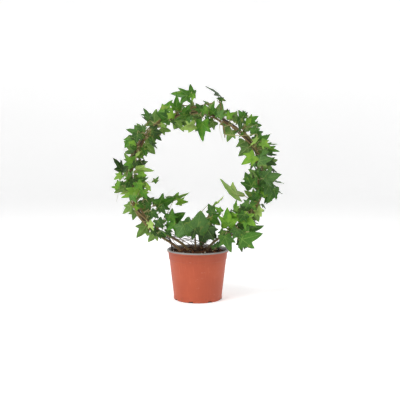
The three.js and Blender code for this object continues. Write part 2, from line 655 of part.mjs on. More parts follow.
/** Blade and stalk as one closed solid; the stalk ends at the given place. */
function leafSolid(leaf, end) {
  const { across, along, up } = bladeFrame(leaf);
  const ring = bladeRing(leaf);
  const n = ring.length;
  const { start, bend } = stalkLine(leaf, end);
  const points = [...ring, leaf.junction.clone().addScaledVector(up, BLADE_HALF)];
  const corner = (centre, a, b, k, r) => centre.clone()
    .addScaledVector(a, r * Math.sin(2 * Math.PI * k / 3)).addScaledVector(b, r * Math.cos(2 * Math.PI * k / 3));
  const root = n + 1;
  for (let k = 0; k < 3; k += 1) points.push(corner(start, across, along, -k, PETIOLE_RADIUS));
  // each outline point hangs on its nearest corner of the stalk's root
  const hung = [0, 0, 0, 0, 1, 1, 1, 2, 2, 2, 0, 0];
  const faces = [];
  for (let i = 0; i < n; i += 1) {
    const j = (i + 1) % n;
    faces.push([n, i, j], [j, i, root + hung[i]]);
    if (hung[i] !== hung[j]) faces.push([j, root + hung[i], root + hung[j]]);
  }
  // rings of the stalk, turned along with its bend
  let a = across.clone();
  let b = along.clone();
  let way = up.clone().negate();
  let from = root;
  for (const [place, next] of [[bend, end], [end, null]]) {
    const before = place === bend ? start : bend;
    const heading = place.clone().sub(before).normalize();
    if (next) heading.add(next.clone().sub(place).normalize()).normalize();
    const turn = new THREE.Quaternion().setFromUnitVectors(way, heading);
    a = a.clone().applyQuaternion(turn);
    b = b.clone().applyQuaternion(turn);
    way = heading;
    const to = points.length;
    for (let k = 0; k < 3; k += 1) points.push(corner(place, a, b, -k, PETIOLE_RADIUS));
    for (let k = 0; k < 3; k += 1) {
      const m = (k + 1) % 3;
      faces.push([from + m, from + k, to + k], [from + m, to + k, to + m]);
    }
    from = to;
  }
  faces.push([from, from + 2, from + 1]);
  return solidOf(polyhedron(points, faces));
}

/** Whether two boxes come within a clearance of each other. */
function boxesMeet(a, b) {
  return [0, 1, 2].every((i) => a.min[i] < b.max[i] + CLEARANCE && b.min[i] < a.max[i] + CLEARANCE);
}

/** Whether a solid cuts into any of the listed ones. */
function clashes(solid, others) {
  const box = solid.boundingBox();
  return others.some((other) => boxesMeet(box, other.box) && !solid.intersect(other.solid).isEmpty());
}

/** Whether a stalk doubles back on itself or runs against its own blade. */
function fouled(leaf, { start, bend, end }) {
  const way = end.clone().sub(bend);
  if (way.angleTo(bend.clone().sub(start)) > SHARPEST_BEND) return true;
  const ring = bladeRing(leaf);
  const piece = new THREE.Triangle();
  const near = new THREE.Vector3();
  const steps = Math.ceil(way.length());
  for (let step = 0; step <= steps; step += 1) {
    const at = bend.clone().addScaledVector(way, step / steps);
    for (let i = 0; i < ring.length; i += 1) {
      piece.set(leaf.junction, ring[i], ring[(i + 1) % ring.length]);
      if (piece.closestPointToPoint(at, near).distanceTo(at) < PETIOLE_RADIUS + CLEARANCE) return true;
    }
  }
  return false;
}

/** Places on the stems where a stalk could grow, one for each stem, the nearest first. */
function growingPlaces(stems, junction) {
  const places = stems.map((stem) => {
    let best = { distance: Infinity };
    for (let i = 2; i < stem.points.length; i += 1) {
      if (stem.points[i - 1].z < SOIL_EDGE + 10) continue;
      const at = stem.points[i - 1].clone().lerp(stem.points[i], 0.5);
      const distance = at.distanceTo(junction);
      if (distance < best.distance) {
        const along = stem.points[i].clone().sub(stem.points[i - 1]).normalize();
        best = { stem, at, along, distance, radius: stem.radii[i] };
      }
    }
    return best;
  });
  return places.sort((p, q) => p.distance - q.distance).slice(0, 4);
}

/** Where a stalk stops short of the stem it grows from, clear of its bark. */
function shortEnd(leaf, place) {
  const { bend } = stalkLine(leaf, place.at);
  const way = place.at.clone().sub(bend).normalize();
  const slant = Math.sqrt(1 - way.dot(place.along) ** 2);
  if (slant < LEAST_SLANT) return null;
  const back = (place.radius + PETIOLE_RADIUS + CLEARANCE) / slant;
  return back < place.at.distanceTo(bend) - 1 ? place.at.clone().addScaledVector(way, -back) : null;
}

/** Finds room for a leaf near where it is wanted, moving, tilting, then shrinking it. */
function settleLeaf(wanted, stems, fixed, placed) {
  for (let shrink = 1; shrink > LEAST_SHARE; shrink *= SHRINK_STEP) {
    for (let attempt = 0; attempt < TRIES; attempt += 1) {
      const stray = attempt / TRIES;
      const leaf = {
        ...wanted,
        length: wanted.length * shrink,
        lean: wanted.lean + stray * random(-0.5, 0.5),
        turn: wanted.turn + stray * random(-0.7, 0.7),
        junction: wanted.junction.clone().add(
          new THREE.Vector3(random(-4, 4), random(-18, 18), random(-4, 4)).multiplyScalar(stray)),
      };
      const around = [...fixed, ...placed];
      if (clashes(bladeRoom(leaf, CLEARANCE), around)) continue;
      for (const place of growingPlaces(stems, leaf.junction)) {
        const end = shortEnd(leaf, place);
        if (!end || [end, place.at].some((to) => fouled(leaf, stalkLine(leaf, to)))) continue;
        const free = leafSolid(leaf, end);
        if (clashes(free, around)) continue;
        placed.push({ solid: free, box: free.boundingBox() });
        return { leaf, free, stem: place.stem, joined: leafSolid(leaf, place.at) };
      }
    }
  }
  return null;
}

/** Each leaf's own way of growing, on top of where it was set. */
function habit() {
  return {
    breadth: random(0.86, 1.06),
    curl: random(0.03, 0.15),
    fold: random(0.02, 0.11),
    basal: random(0.14, 0.24),
    lobing: random(0.75, 1.15),
  };
}

/** The leaves set by hand, then those that fill the back of the ring. */
function wantedLeaves() {
  const front = LEAVES.map(([clock, out, depth, heading, length, breadth, edge]) => {
    const grown = habit();
    const lean = random(-0.35, 0.3);
    const aside = Math.sign(edge) * Math.acos(Math.min(breadth / grown.breadth, 1));
    return {
      ...grown,
      junction: besideHoop(THREE.MathUtils.degToRad(clock), out, depth * DEPTH_SPREAD),
      heading: THREE.MathUtils.degToRad(heading),
      lean,
      turn: (Math.abs(edge) > 1 ? Math.PI : 0) + aside + random(-0.2, 0.2),
      length: length / Math.cos(lean),
    };
  });
  const back = Array.from({ length: BACK_LEAVES }, (_, i) => {
    const clock = THREE.MathUtils.mapLinear(i, 0, BACK_LEAVES - 1, -JOIN, JOIN) + random(-0.05, 0.05);
    const outward = i % 2 === 0 ? 1 : -1;
    return {
      ...habit(),
      junction: besideHoop(clock, outward * random(2, 13), random(8, 20) * DEPTH_SPREAD),
      heading: clock + (outward > 0 ? 0 : Math.PI) + random(-0.9, 0.9),
      lean: random(-0.1, 0.5),
      turn: Math.PI + random(-0.8, 0.8),
      length: random(20, 34),
    };
  });
  return [...front, ...back].sort((p, q) => q.length - p.length);
}

// ---------------------------------------------------------------- the whole plant
function plant() {
  const lines = [
    ...SHOOTS.map((shoot) => ({ name: shoot[0], points: windingLine(shoot) })),
    ...LOW_SHOOTS.map((shoot) => ({ name: shoot[0], points: lowLine(shoot) })),
  ];
  const stems = lines.map((line) => ({ ...line, radii: stemRadii(line.points.length) }));
  const wirePoints = new HoopLine().getSpacedPoints(2 * WIRE_STEPS);
  settle(stems, { points: wirePoints, radii: wirePoints.map(() => WIRE_RADIUS) });
  for (const stem of stems) stem.solid = tube(stem.points, stem.radii, STEM_SIDES);

  const potSolid = pot();
  const wireSolid = wire();
  const grownStems = stems.map((stem) =>
    tube(stem.points, stem.radii.map((r) => r + SLEEVE), STEM_SIDES));
  const soilSolid = soil([wire(SLEEVE), ...grownStems]);

  const fixed = [potSolid, soilSolid, wireSolid, ...stems.map((stem) => stem.solid)]
    .map((solid) => ({ solid, box: solid.boundingBox() }));
  const placed = [];
  const grown = wantedLeaves().map((wanted) => settleLeaf(wanted, stems, fixed, placed))
    .filter((leaf) => leaf !== null);
  const own = new Set([...grown].sort((p, q) => q.leaf.length - p.leaf.length).slice(0, OWN_NODES));

  const whole = new THREE.Group();
  whole.add(meshOf('pot', potSolid, COLOURS.pot));
  whole.add(meshOf('soil', soilSolid, COLOURS.soil));
  whole.add(meshOf('hoop', wireSolid, COLOURS.wire));
  for (const stem of stems) {
    const leaves = grown.filter((leaf) => leaf.stem === stem && !own.has(leaf));
    const shoot = wasm.Manifold.union([stem.solid, ...leaves.map((leaf) => leaf.joined)]);
    whole.add(meshOf(stem.name, shoot, COLOURS.shoot));
  }
  [...own].forEach((leaf, i) => {
    whole.add(meshOf(`leaf_${String(i + 1).padStart(2, '0')}`, leaf.free, COLOURS.leaf));
  });
  return whole;
}

export default plant();
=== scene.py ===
"""Looks of a potted ivy trained on a wire hoop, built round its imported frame.

Lengths are metres in Blender and millimetres in the sizes below, +Z is up and the viewer stands
on the -Y side. Leaves are read from the frame blade by blade; stems and wire follow the routes
of the frame's own solids.
"""

import logging
import math
import random
from collections.abc import Iterable, Sequence
from dataclasses import dataclass, field
from enum import Enum

import bmesh
import bpy
import numpy as np
from mathutils import Matrix, Vector, noise


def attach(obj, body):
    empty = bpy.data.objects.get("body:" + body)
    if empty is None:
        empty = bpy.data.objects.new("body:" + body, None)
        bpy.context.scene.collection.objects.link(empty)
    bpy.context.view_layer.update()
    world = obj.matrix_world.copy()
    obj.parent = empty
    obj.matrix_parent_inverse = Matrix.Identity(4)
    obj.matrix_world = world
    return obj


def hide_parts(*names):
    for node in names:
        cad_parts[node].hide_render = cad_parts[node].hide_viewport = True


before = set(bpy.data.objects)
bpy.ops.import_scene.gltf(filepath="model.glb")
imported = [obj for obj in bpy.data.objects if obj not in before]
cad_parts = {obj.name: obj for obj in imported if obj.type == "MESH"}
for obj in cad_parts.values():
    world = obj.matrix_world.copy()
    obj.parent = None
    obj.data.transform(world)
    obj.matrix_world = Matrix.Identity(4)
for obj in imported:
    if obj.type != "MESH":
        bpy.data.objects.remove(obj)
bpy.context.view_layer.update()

LOG = logging.getLogger("potted_ivy")
MM = 0.001
Colour = tuple[float, float, float]


def srgb(red: int, green: int, blue: int) -> Colour:
    """Linear colour from 0-255 display values."""
    def linear(value: float) -> float:
        """One channel from display to linear."""
        return value / 12.92 if value <= 0.04045 else ((value + 0.055) / 1.055) ** 2.4
    return linear(red / 255), linear(green / 255), linear(blue / 255)


# ------------------------------------------------------------------------------ node helpers
class Nodes:
    """Builds a node tree with short calls.

    Args:
        tree: The material's or group's node tree.
    """

    def __init__(self, tree: bpy.types.NodeTree) -> None:
        """Keeps the tree to add to."""
        self.tree = tree

    def new(self, kind: str, **settings: object) -> bpy.types.Node:
        """Adds a node and sets its properties."""
        node = self.tree.nodes.new(kind)
        for name, value in settings.items():
            setattr(node, name, value)
        return node

    def wire(self, source: object, target: bpy.types.NodeSocket) -> None:
        """Links a socket to an input, or sets the input where source is a plain value."""
        if isinstance(source, bpy.types.NodeSocket):
            self.tree.links.new(source, target)
        else:
            target.default_value = source

    def math(self, operation: str, *values: object, clamp: bool = False) -> bpy.types.NodeSocket:
        """Adds a Math node and returns its value."""
        node = self.new("ShaderNodeMath", operation=operation, use_clamp=clamp)
        for value, socket in zip(values, node.inputs):
            self.wire(value, socket)
        return node.outputs[0]

    def mix(self, factor: object, first: object, second: object) -> bpy.types.NodeSocket:
        """Mixes two colours, given as sockets or as linear RGB."""
        node = self.new("ShaderNodeMix", data_type="RGBA", clamp_factor=True)
        self.wire(factor, node.inputs[0])
        for value, socket in ((first, node.inputs[6]), (second, node.inputs[7])):
            self.wire((*value, 1.0) if isinstance(value, tuple) else value, socket)
        return node.outputs[2]

    def ramp(self, value: object, stops: Iterable[tuple[float, Colour]]) -> bpy.types.NodeSocket:
        """Adds a colour ramp with the given stops and returns its colour."""
        node = self.new("ShaderNodeValToRGB")
        elements = node.color_ramp.elements
        for index, (place, colour) in enumerate(stops):
            element = elements[index] if index < 2 else elements.new(place)
            element.position, element.color = place, (*colour, 1.0)
        self.wire(value, node.inputs[0])
        return node.outputs[0]

    def span(self, value: object, low: float, high: float, to_low: float = 0.0,
             to_high: float = 1.0) -> bpy.types.NodeSocket:
        """Maps one range of values smoothly onto another."""
        node = self.new("ShaderNodeMapRange", interpolation_type="SMOOTHSTEP")
        for socket, number in zip(node.inputs, (value, low, high, to_low, to_high)):
            self.wire(number, socket)
        return node.outputs[0]

    def noise(self, vector: object, scale: float, detail: float = 3.0,
              rough: float = 0.55) -> bpy.types.NodeSocket:
        """Adds a noise texture and returns its value."""
        node = self.new("ShaderNodeTexNoise")
        self.wire(vector, node.inputs["Vector"])
        node.inputs["Scale"].default_value = scale
        node.inputs["Detail"].default_value = detail
        node.inputs["Roughness"].default_value = rough
        return node.outputs[0]

    def stretched(self, vector: object, scale: Sequence[float]) -> bpy.types.NodeSocket:
        """Scales a vector unevenly, to draw a pattern out along an axis."""
        node = self.new("ShaderNodeMapping")
        self.wire(vector, node.inputs["Vector"])
        node.inputs["Scale"].default_value = scale
        return node.outputs[0]

    def place(self) -> bpy.types.NodeSocket:
        """Object coordinates, in metres."""
        return self.new("ShaderNodeTexCoord").outputs["Object"]

    def attribute(self, name: str) -> bpy.types.NodeSocket:
        """The vector that a mesh attribute holds."""
        return self.new("ShaderNodeAttribute", attribute_name=name).outputs["Vector"]

    def split(self, vector: object) -> tuple[bpy.types.NodeSocket, ...]:
        """The three parts of a vector."""
        node = self.new("ShaderNodeSeparateXYZ")
        self.wire(vector, node.inputs[0])
        return tuple(node.outputs)

    def bump(self, height: object, distance: float, strength: float = 1.0) -> bpy.types.NodeSocket:
        """Turns a height into a normal; distance is in metres."""
        node = self.new("ShaderNodeBump")
        node.inputs["Strength"].default_value = strength
        node.inputs["Distance"].default_value = distance
        self.wire(height, node.inputs["Height"])
        return node.outputs[0]

    def group(self, tree: bpy.types.NodeTree, **values: object) -> bpy.types.Node:
        """Places a node group and gives its named inputs their values."""
        node = self.new("ShaderNodeGroup", node_tree=tree)
        for name, value in values.items():
            self.wire(value, node.inputs[name.replace("_", " ").capitalize()])
        return node


def new_group(name: str, inputs: Sequence[tuple[str, str]],
              outputs: Sequence[tuple[str, str]]) -> tuple[bpy.types.NodeTree, Nodes,
                                                           bpy.types.Node, bpy.types.Node]:
    """Starts a shader node group.

    Args:
        name: The group's name.
        inputs: Pairs of socket name and kind, such as Float or Vector.
        outputs: The same for what it gives out.

    Returns:
        The group, a helper to fill it, and its input and output nodes.
    """
    tree = bpy.data.node_groups.new(name, "ShaderNodeTree")
    for way, sockets in (("INPUT", inputs), ("OUTPUT", outputs)):
        for socket, kind in sockets:
            tree.interface.new_socket(socket, in_out=way, socket_type=f"NodeSocket{kind}")
    nodes = Nodes(tree)
    return tree, nodes, nodes.new("NodeGroupInput"), nodes.new("NodeGroupOutput")


class Effects:
    """Shader groups that several finishes share."""

    def __init__(self) -> None:
        """Builds each group once."""
        self.veins = self._veins()
        self.mottle = self._mottle()
        self.dust = self._dust()

    @staticmethod
    def _veins() -> bpy.types.NodeTree:
        """Veins that spread from the stalk to the five lobes, and the fine net between them."""
        tree, n, given, out = new_group(
            "ivy_veins", [("Blade", "Vector"), ("Width", "Float"), ("Net scale", "Float")],
            [("Veins", "Float"), ("Net", "Float")])
        across, along, _ = n.split(given.outputs["Blade"])
        across = n.math("ABSOLUTE", across)
        veins: object = 0.0
        for degrees, reach in ((0, 0.95), (52, 0.72), (121, 0.42)):
            sine, cosine = math.sin(math.radians(degrees)), math.cos(math.radians(degrees))
            forward = n.math("ADD", n.math("MULTIPLY", across, sine),
                             n.math("MULTIPLY", along, cosine))
            aside = n.math("ABSOLUTE", n.math("SUBTRACT", n.math("MULTIPLY", across, cosine),
                                              n.math("MULTIPLY", along, sine)))
            taper = n.math("SUBTRACT", 1.15, n.math("DIVIDE", forward, reach))
            width = n.math("MULTIPLY", n.math("MAXIMUM", taper, 0.05), given.outputs["Width"])
            line = n.math("SUBTRACT", 1.0, n.math("DIVIDE", aside, width), clamp=True)
            line = n.math("MULTIPLY", line, n.math("GREATER_THAN", forward, 0.0))
            # side veins leave each main vein at a slant
            slant = n.math("SUBTRACT", forward, n.math("MULTIPLY", aside, 1.3))
            comb = n.math("PINGPONG", n.math("MULTIPLY", slant, 9.0), 0.5)
            side = n.span(comb, 0.07, 0.0)
            side = n.math("MULTIPLY", side, n.span(aside, 0.16, 0.0))
            side = n.math("MULTIPLY", side, n.math("GREATER_THAN", slant, 0.02))
            both = n.math("MAXIMUM", line, n.math("MULTIPLY", side, 0.45))
            veins = n.math("MAXIMUM", veins, both)
        cells = n.new("ShaderNodeTexVoronoi", feature="DISTANCE_TO_EDGE")
        n.wire(given.outputs["Blade"], cells.inputs["Vector"])
        n.wire(given.outputs["Net scale"], cells.inputs["Scale"])
        n.wire(veins, out.inputs["Veins"])
        n.wire(n.span(cells.outputs["Distance"], 0.09, 0.0), out.inputs["Net"])
        return tree

    @staticmethod
    def _mottle() -> bpy.types.NodeTree:
        """Broad and fine blotches, each from 0 to 1."""
        tree, n, given, out = new_group(
            "mottle", [("Place", "Vector"), ("Broad scale", "Float"), ("Fine scale", "Float")],
            [("Broad", "Float"), ("Fine", "Float")])
        for name, detail in (("Broad", 3.0), ("Fine", 5.0)):
            texture = n.new("ShaderNodeTexNoise")
            n.wire(given.outputs["Place"], texture.inputs["Vector"])
            n.wire(given.outputs[f"{name} scale"], texture.inputs["Scale"])
            texture.inputs["Detail"].default_value = detail
            n.wire(n.span(texture.outputs[0], 0.3, 0.7), out.inputs[name])
        return tree

    @staticmethod
    def _dust() -> bpy.types.NodeTree:
        """Specks and smears of dried soil, denser low down and near an upper edge."""
        tree, n, given, out = new_group(
            "soil_dust", [("Place", "Vector"), ("Low", "Float"), ("High", "Float")],
            [("Dust", "Float")])
        height = n.split(given.outputs["Place"])[2]
        low = n.math("DIVIDE", n.math("SUBTRACT", 0.02, height), 0.02, clamp=True)
        high = n.math("DIVIDE", n.math("SUBTRACT", height, 0.085), 0.013, clamp=True)
        weight = n.math("ADD", n.math("MULTIPLY", low, given.outputs["Low"]),
                        n.math("MULTIPLY", high, given.outputs["High"]))
        smear = n.span(n.noise(given.outputs["Place"], 160.0, 4.0), 0.52, 0.72)
        speck = n.span(n.noise(given.outputs["Place"], 900.0, 2.0), 0.66, 0.72)
        n.wire(n.math("MULTIPLY", n.math("ADD", smear, speck), weight, clamp=True),
               out.inputs["Dust"])
        return tree


# ------------------------------------------------------------------------------ finishes
def new_material(name: str, roughness: float,
                 **plain: float) -> tuple[bpy.types.Material, Nodes, bpy.types.Node]:
    """Starts a material.

    Args:
        name: The material's name.
        roughness: Roughness on the shader's own socket.
        plain: Other sockets that hold one value, with _ for a space in their names.

    Returns:
        The material, a helper for its nodes, and its Principled shader.
    """
    material = bpy.data.materials.new(name)
    material.use_nodes = True
    material.node_tree.nodes.clear()
    nodes = Nodes(material.node_tree)
    shader = nodes.new("ShaderNodeBsdfPrincipled")
    nodes.wire(shader.outputs[0], nodes.new("ShaderNodeOutputMaterial").inputs[0])
    shader.inputs["Roughness"].default_value = roughness
    for socket, value in plain.items():
        shader.inputs[socket.replace("_", " ")].default_value = value
    return material, nodes, shader


@dataclass(frozen=True)
class PotPlastic:
    """Thin moulded plastic with faint flow marks, scuffs, a little dried soil and painted shade
    under the lip.
    """

    name: str
    colour: Colour
    deep: Colour
    roughness: float = 0.46
    dust: float = 0.35

    def make(self, effects: Effects) -> bpy.types.Material:
        """Builds the material."""
        material, n, shader = new_material(self.name, self.roughness, Specular_IOR_Level=0.42)
        place = n.place()
        mottle = n.group(effects.mottle, place=place, broad_scale=26.0, fine_scale=420.0)
        colour = n.mix(n.math("MULTIPLY", mottle.outputs["Broad"], 0.55), self.colour, self.deep)
        flow = n.noise(n.stretched(place, (1.0, 1.0, 0.09)), 240.0, 3.0)
        pale = tuple(min(1.0, part * 1.16 + 0.01) for part in self.colour)
        colour = n.mix(n.span(flow, 0.52, 0.8, 0.0, 0.45), colour, pale)
        scuff = n.noise(n.stretched(place, (1.0, 1.0, 4.0)), 70.0, 6.0, 0.7)
        scuffs = n.span(scuff, 0.63, 0.7, 0.0, 0.35)
        colour = n.mix(scuffs, colour, srgb(214, 150, 128))
        dust = n.group(effects.dust, place=place, low=self.dust, high=self.dust * 1.5)
        colour = n.mix(dust.outputs["Dust"], colour, srgb(98, 72, 50))
        # painted shade: the wall darkens from 66 mm up to the lip, as if in the lip's shadow
        painted_lip_shade = n.span(n.split(place)[2], 0.066, 0.093, 0.0, 0.4)
        colour = n.mix(painted_lip_shade, colour, tuple(part * 0.62 for part in self.deep))
        n.wire(colour, shader.inputs["Base Color"])
        rough = n.math("ADD", self.roughness, n.math("MULTIPLY", mottle.outputs["Fine"], 0.08))
        rough = n.math("ADD", rough, n.math("MULTIPLY", scuffs, 0.5))
        n.wire(n.math("ADD", rough, n.math("MULTIPLY", dust.outputs["Dust"], 0.4), clamp=True),
               shader.inputs["Roughness"])
        n.wire(n.bump(n.math("ADD", mottle.outputs["Fine"], n.math("MULTIPLY", flow, 0.6)),
                      0.00006), shader.inputs["Normal"])
        return material


@dataclass(frozen=True)
class Earth:
    """Dark crumbly matter: soil, bark chips, fibres or perlite.

    Attributes:
        stops: Colour ramp from the darkest hollow to the palest grain.
        grain: Scale of the finest crumbs.
        relief: Depth of the bump, in metres.
    """

    name: str
    stops: tuple[tuple[float, Colour], ...]
    grain: float = 900.0
    relief: float = 0.0006

    def make(self, effects: Effects) -> bpy.types.Material:
        """Builds the material."""
        material, n, shader = new_material(self.name, 0.93, Specular_IOR_Level=0.25)
        place = n.place()
        mottle = n.group(effects.mottle, place=place, broad_scale=self.grain * 0.16,
                         fine_scale=self.grain)
        value = n.math("ADD", n.math("MULTIPLY", mottle.outputs["Broad"], 0.5),
                       n.math("MULTIPLY", mottle.outputs["Fine"], 0.5))
        n.wire(n.ramp(value, self.stops), shader.inputs["Base Color"])
        n.wire(n.bump(value, self.relief), shader.inputs["Normal"])
        return material


@dataclass(frozen=True)
class CoatedWire:
    """Dark plastic-coated wire, a little rubbed."""

    name: str = "coated_wire"

    def make(self, effects: Effects) -> bpy.types.Material:
        """Builds the material."""
        material, n, shader = new_material(self.name, 0.42)
        mottle = n.group(effects.mottle, place=n.place(), broad_scale=90.0, fine_scale=700.0)
        colour = n.mix(mottle.outputs["Broad"], srgb(44, 34, 26), srgb(66, 52, 38))
        rubbed = n.math("POWER", mottle.outputs["Fine"], 3.0)
        colour = n.mix(n.math("MULTIPLY", rubbed, 0.5), colour, srgb(96, 80, 60))
        n.wire(colour, shader.inputs["Base Color"])
        n.wire(n.math("ADD", 0.36, n.math("MULTIPLY", mottle.outputs["Fine"], 0.25)),
               shader.inputs["Roughness"])
        n.wire(n.bump(mottle.outputs["Fine"], 0.0001), shader.inputs["Normal"])
        return material


@dataclass(frozen=True)
class Bark:
    """Skin of a stem or stalk: drawn-out flecks over a colour that shifts along the plant.

    Attributes:
        young: Colour of green stretches.
        old: Colour of woody stretches.
        fleck: Colour of the raised flecks.
    """

    name: str
    young: Colour
    old: Colour
    fleck: Colour
    roughness: float = 0.62

    def make(self, effects: Effects) -> bpy.types.Material:
        """Builds the material."""
        material, n, shader = new_material(self.name, self.roughness)
        place = n.place()
        mottle = n.group(effects.mottle, place=place, broad_scale=34.0, fine_scale=850.0)
        colour = n.mix(mottle.outputs["Broad"], self.young, self.old)
        flecks = n.math("POWER", mottle.outputs["Fine"], 2.0)
        colour = n.mix(n.math("MULTIPLY", flecks, 0.6), colour, self.fleck)
        n.wire(colour, shader.inputs["Base Color"])
        n.wire(n.math("ADD", self.roughness - 0.08, n.math("MULTIPLY", flecks, 0.2)),
               shader.inputs["Roughness"])
        n.wire(n.bump(mottle.outputs["Fine"], 0.00025), shader.inputs["Normal"])
        return material


@dataclass(frozen=True)
class LeafSkin:
    """One face of an ivy blade, with its veins, waxy shine, painted sheen and blotches.

    The blade attribute holds across, along and a number of its own for each leaf; the look
    attribute holds tone, painted sheen and age, and the tone carries painted shade on leaves
    further back.

    Attributes:
        stops: Colour ramp over the tone.
        vein: Colour of the veins.
        painted_sheen: Colour that a glossy leaf is greyed towards as painted sheen.
        relief: How far veins stand from the blade, in metres; below zero they are sunk.
    """

    name: str
    stops: tuple[tuple[float, Colour], ...]
    vein: Colour
    painted_sheen: Colour
    roughness: float
    relief: float
    vein_strength: float

    def make(self, effects: Effects) -> bpy.types.Material:
        """Builds the material."""
        material, n, shader = new_material(self.name, self.roughness, Specular_IOR_Level=0.22)
        blade = n.attribute("blade")
        tone, painted_sheen, age = n.split(n.attribute("look"))
        veins = n.group(effects.veins, blade=blade, width=0.026, net_scale=11.0)
        mottle = n.group(effects.mottle, place=n.place(), broad_scale=95.0, fine_scale=1500.0)
        patch = n.math("MULTIPLY", n.math("SUBTRACT", mottle.outputs["Broad"], 0.5), 0.16)
        shade = n.math("ADD", tone, patch, clamp=True)
        colour = n.ramp(shade, self.stops)
        # painted sheen: glossy leaves are greyed towards a pale grey-green, as if they reflected
        # the bright room
        colour = n.mix(n.math("MULTIPLY", painted_sheen, 0.75), colour, self.painted_sheen)
        # darker flesh between the veins, paler veins
        along = n.split(blade)[1]
        heart = n.span(along, 0.5, -0.1, 0.0, 0.16)
        colour = n.mix(heart, colour, tuple(part * 0.55 for part in self.stops[1][1]))
        strength = n.math("MULTIPLY", veins.outputs["Veins"], self.vein_strength)
        colour = n.mix(strength, colour, self.vein)
        net = n.math("MULTIPLY", veins.outputs["Net"], 0.14)
        colour = n.mix(net, colour, self.vein)
        tired = n.math("MULTIPLY", n.span(mottle.outputs["Broad"], 0.75, 1.0), age)
        colour = n.mix(n.math("MULTIPLY", tired, 0.6), colour, srgb(150, 140, 70))
        n.wire(colour, shader.inputs["Base Color"])
        rough = n.math("ADD", self.roughness, n.math("MULTIPLY", mottle.outputs["Fine"], 0.1))
        # the painted sheen amount also makes the leaf a little glossier
        n.wire(n.math("SUBTRACT", rough, n.math("MULTIPLY", painted_sheen, 0.08)),
               shader.inputs["Roughness"])
        height = n.math("ADD", n.math("MULTIPLY", veins.outputs["Veins"], 1.0),
                        n.math("MULTIPLY", veins.outputs["Net"], 0.35))
        height = n.math("ADD", height, n.math("MULTIPLY", mottle.outputs["Fine"], 0.12))
        if self.relief < 0:
            height = n.math("SUBTRACT", 1.0, height)
        n.wire(n.bump(height, abs(self.relief)), shader.inputs["Normal"])
        return material


@dataclass(frozen=True)
class StudioPaper:
    """Plain pale paper under and behind the plant."""

    name: str = "studio_paper"

    def make(self, effects: Effects) -> bpy.types.Material:
        """Builds the material."""
        material, n, shader = new_material(self.name, 0.95, Specular_IOR_Level=0.1,
                                           Emission_Strength=0.3)
        mottle = n.group(effects.mottle, place=n.place(), broad_scale=2.0, fine_scale=400.0)
        n.wire(n.mix(mottle.outputs["Broad"], (0.93, 0.93, 0.93), (0.95, 0.95, 0.95)),
               shader.inputs["Base Color"])
        return material


class Finish(Enum):
    """Every finish on the plant and its pot."""

    POT = PotPlastic("terracotta_plastic", srgb(174, 78, 46), srgb(160, 67, 38))
    LIP = PotPlastic("grey_plastic", srgb(158, 156, 154), srgb(128, 124, 120), 0.4, 0.5)
    # potting soil, also used as painted shade inside the pot's drain notches
    SOIL = Earth("potting_soil", ((0.15, srgb(24, 13, 6)), (0.5, srgb(58, 34, 15)),
                                  (0.8, srgb(92, 60, 32)), (1.0, srgb(120, 88, 52))))
    CHIP = Earth("bark_chip", ((0.1, srgb(58, 26, 12)), (0.6, srgb(112, 60, 30)),
                               (1.0, srgb(150, 98, 58))), 500.0, 0.0003)
    ROOT = Earth("dry_root", ((0.1, srgb(104, 78, 36)), (0.6, srgb(158, 128, 66)),
                              (1.0, srgb(190, 164, 104))), 700.0, 0.0002)
    PERLITE = Earth("perlite", ((0.1, srgb(190, 184, 172)), (0.6, srgb(228, 225, 216)),
                                (1.0, srgb(246, 244, 238))), 1400.0, 0.0003)
    WIRE = CoatedWire()
    STEM = Bark("ivy_bark", srgb(110, 108, 48), srgb(104, 70, 42), srgb(164, 136, 88))
    STALK = Bark("leaf_stalk", srgb(136, 150, 76), srgb(150, 128, 84), srgb(196, 196, 140), 0.5)
    ROOTLET = Bark("aerial_root", srgb(92, 66, 40), srgb(70, 46, 28), srgb(120, 92, 60))
    # the third colour of each leaf skin is the grey-green of its painted sheen
    LEAF = LeafSkin("ivy_leaf_upper", ((0.0, srgb(12, 32, 5)), (0.3, srgb(34, 76, 14)),
                                       (0.55, srgb(64, 118, 24)), (0.8, srgb(124, 170, 46)),
                                       (1.0, srgb(190, 212, 104))),
                    srgb(146, 180, 84), srgb(92, 126, 74), 0.38, -0.0002, 0.42)
    UNDERSIDE = LeafSkin("ivy_leaf_under", ((0.0, srgb(58, 92, 34)), (0.3, srgb(88, 126, 48)),
                                            (0.55, srgb(118, 156, 66)), (0.8, srgb(154, 184, 90)),
                                            (1.0, srgb(192, 212, 130))),
                         srgb(188, 210, 132), srgb(134, 158, 104), 0.5, 0.0003, 0.5)
    PAPER = StudioPaper()


class Palette:
    """Makes each finish's material once and dresses pieces with them."""

    def __init__(self) -> None:
        """Builds the shared effects."""
        self.effects = Effects()
        self.made: dict[Finish, bpy.types.Material] = {}

    def get(self, finish: Finish) -> bpy.types.Material:
        """The material of a finish."""
        if finish not in self.made:
            self.made[finish] = finish.value.make(self.effects)
        return self.made[finish]


# ------------------------------------------------------------------------------ mesh helpers
def clean(bm: bmesh.types.BMesh) -> None:
    """Merges doubles, then turns every face outwards."""
    bmesh.ops.remove_doubles(bm, verts=bm.verts, dist=1e-6)
    bmesh.ops.recalc_face_normals(bm, faces=bm.faces)


def new_piece(name: str, mesh: bpy.types.Mesh, palette: Palette, finishes: Sequence[Finish],
              node: str | None = None, sharp: float = 50.0) -> bpy.types.Object:
    """Puts a mesh in the scene as a piece of the plant.

    Args:
        name: The piece's name.
        mesh: Its mesh, already in place.
        palette: Where its materials come from.
        finishes: One finish for each material index of the mesh.
        node: The CAD node that it stands for, if any.
        sharp: Edges bent further than this, in degrees, stay sharp.

    Returns:
        The object.
    """
    mesh.name = name
    for finish in finishes:
        mesh.materials.append(palette.get(finish))
    mesh.shade_smooth()
    mesh.set_sharp_from_angle(angle=math.radians(sharp))
    piece = bpy.data.objects.new(name, mesh)
    bpy.context.scene.collection.objects.link(piece)
    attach(piece, "root")
    if node:
        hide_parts(node)
    LOG.info("%s: %d faces", name, len(mesh.polygons))
    return piece


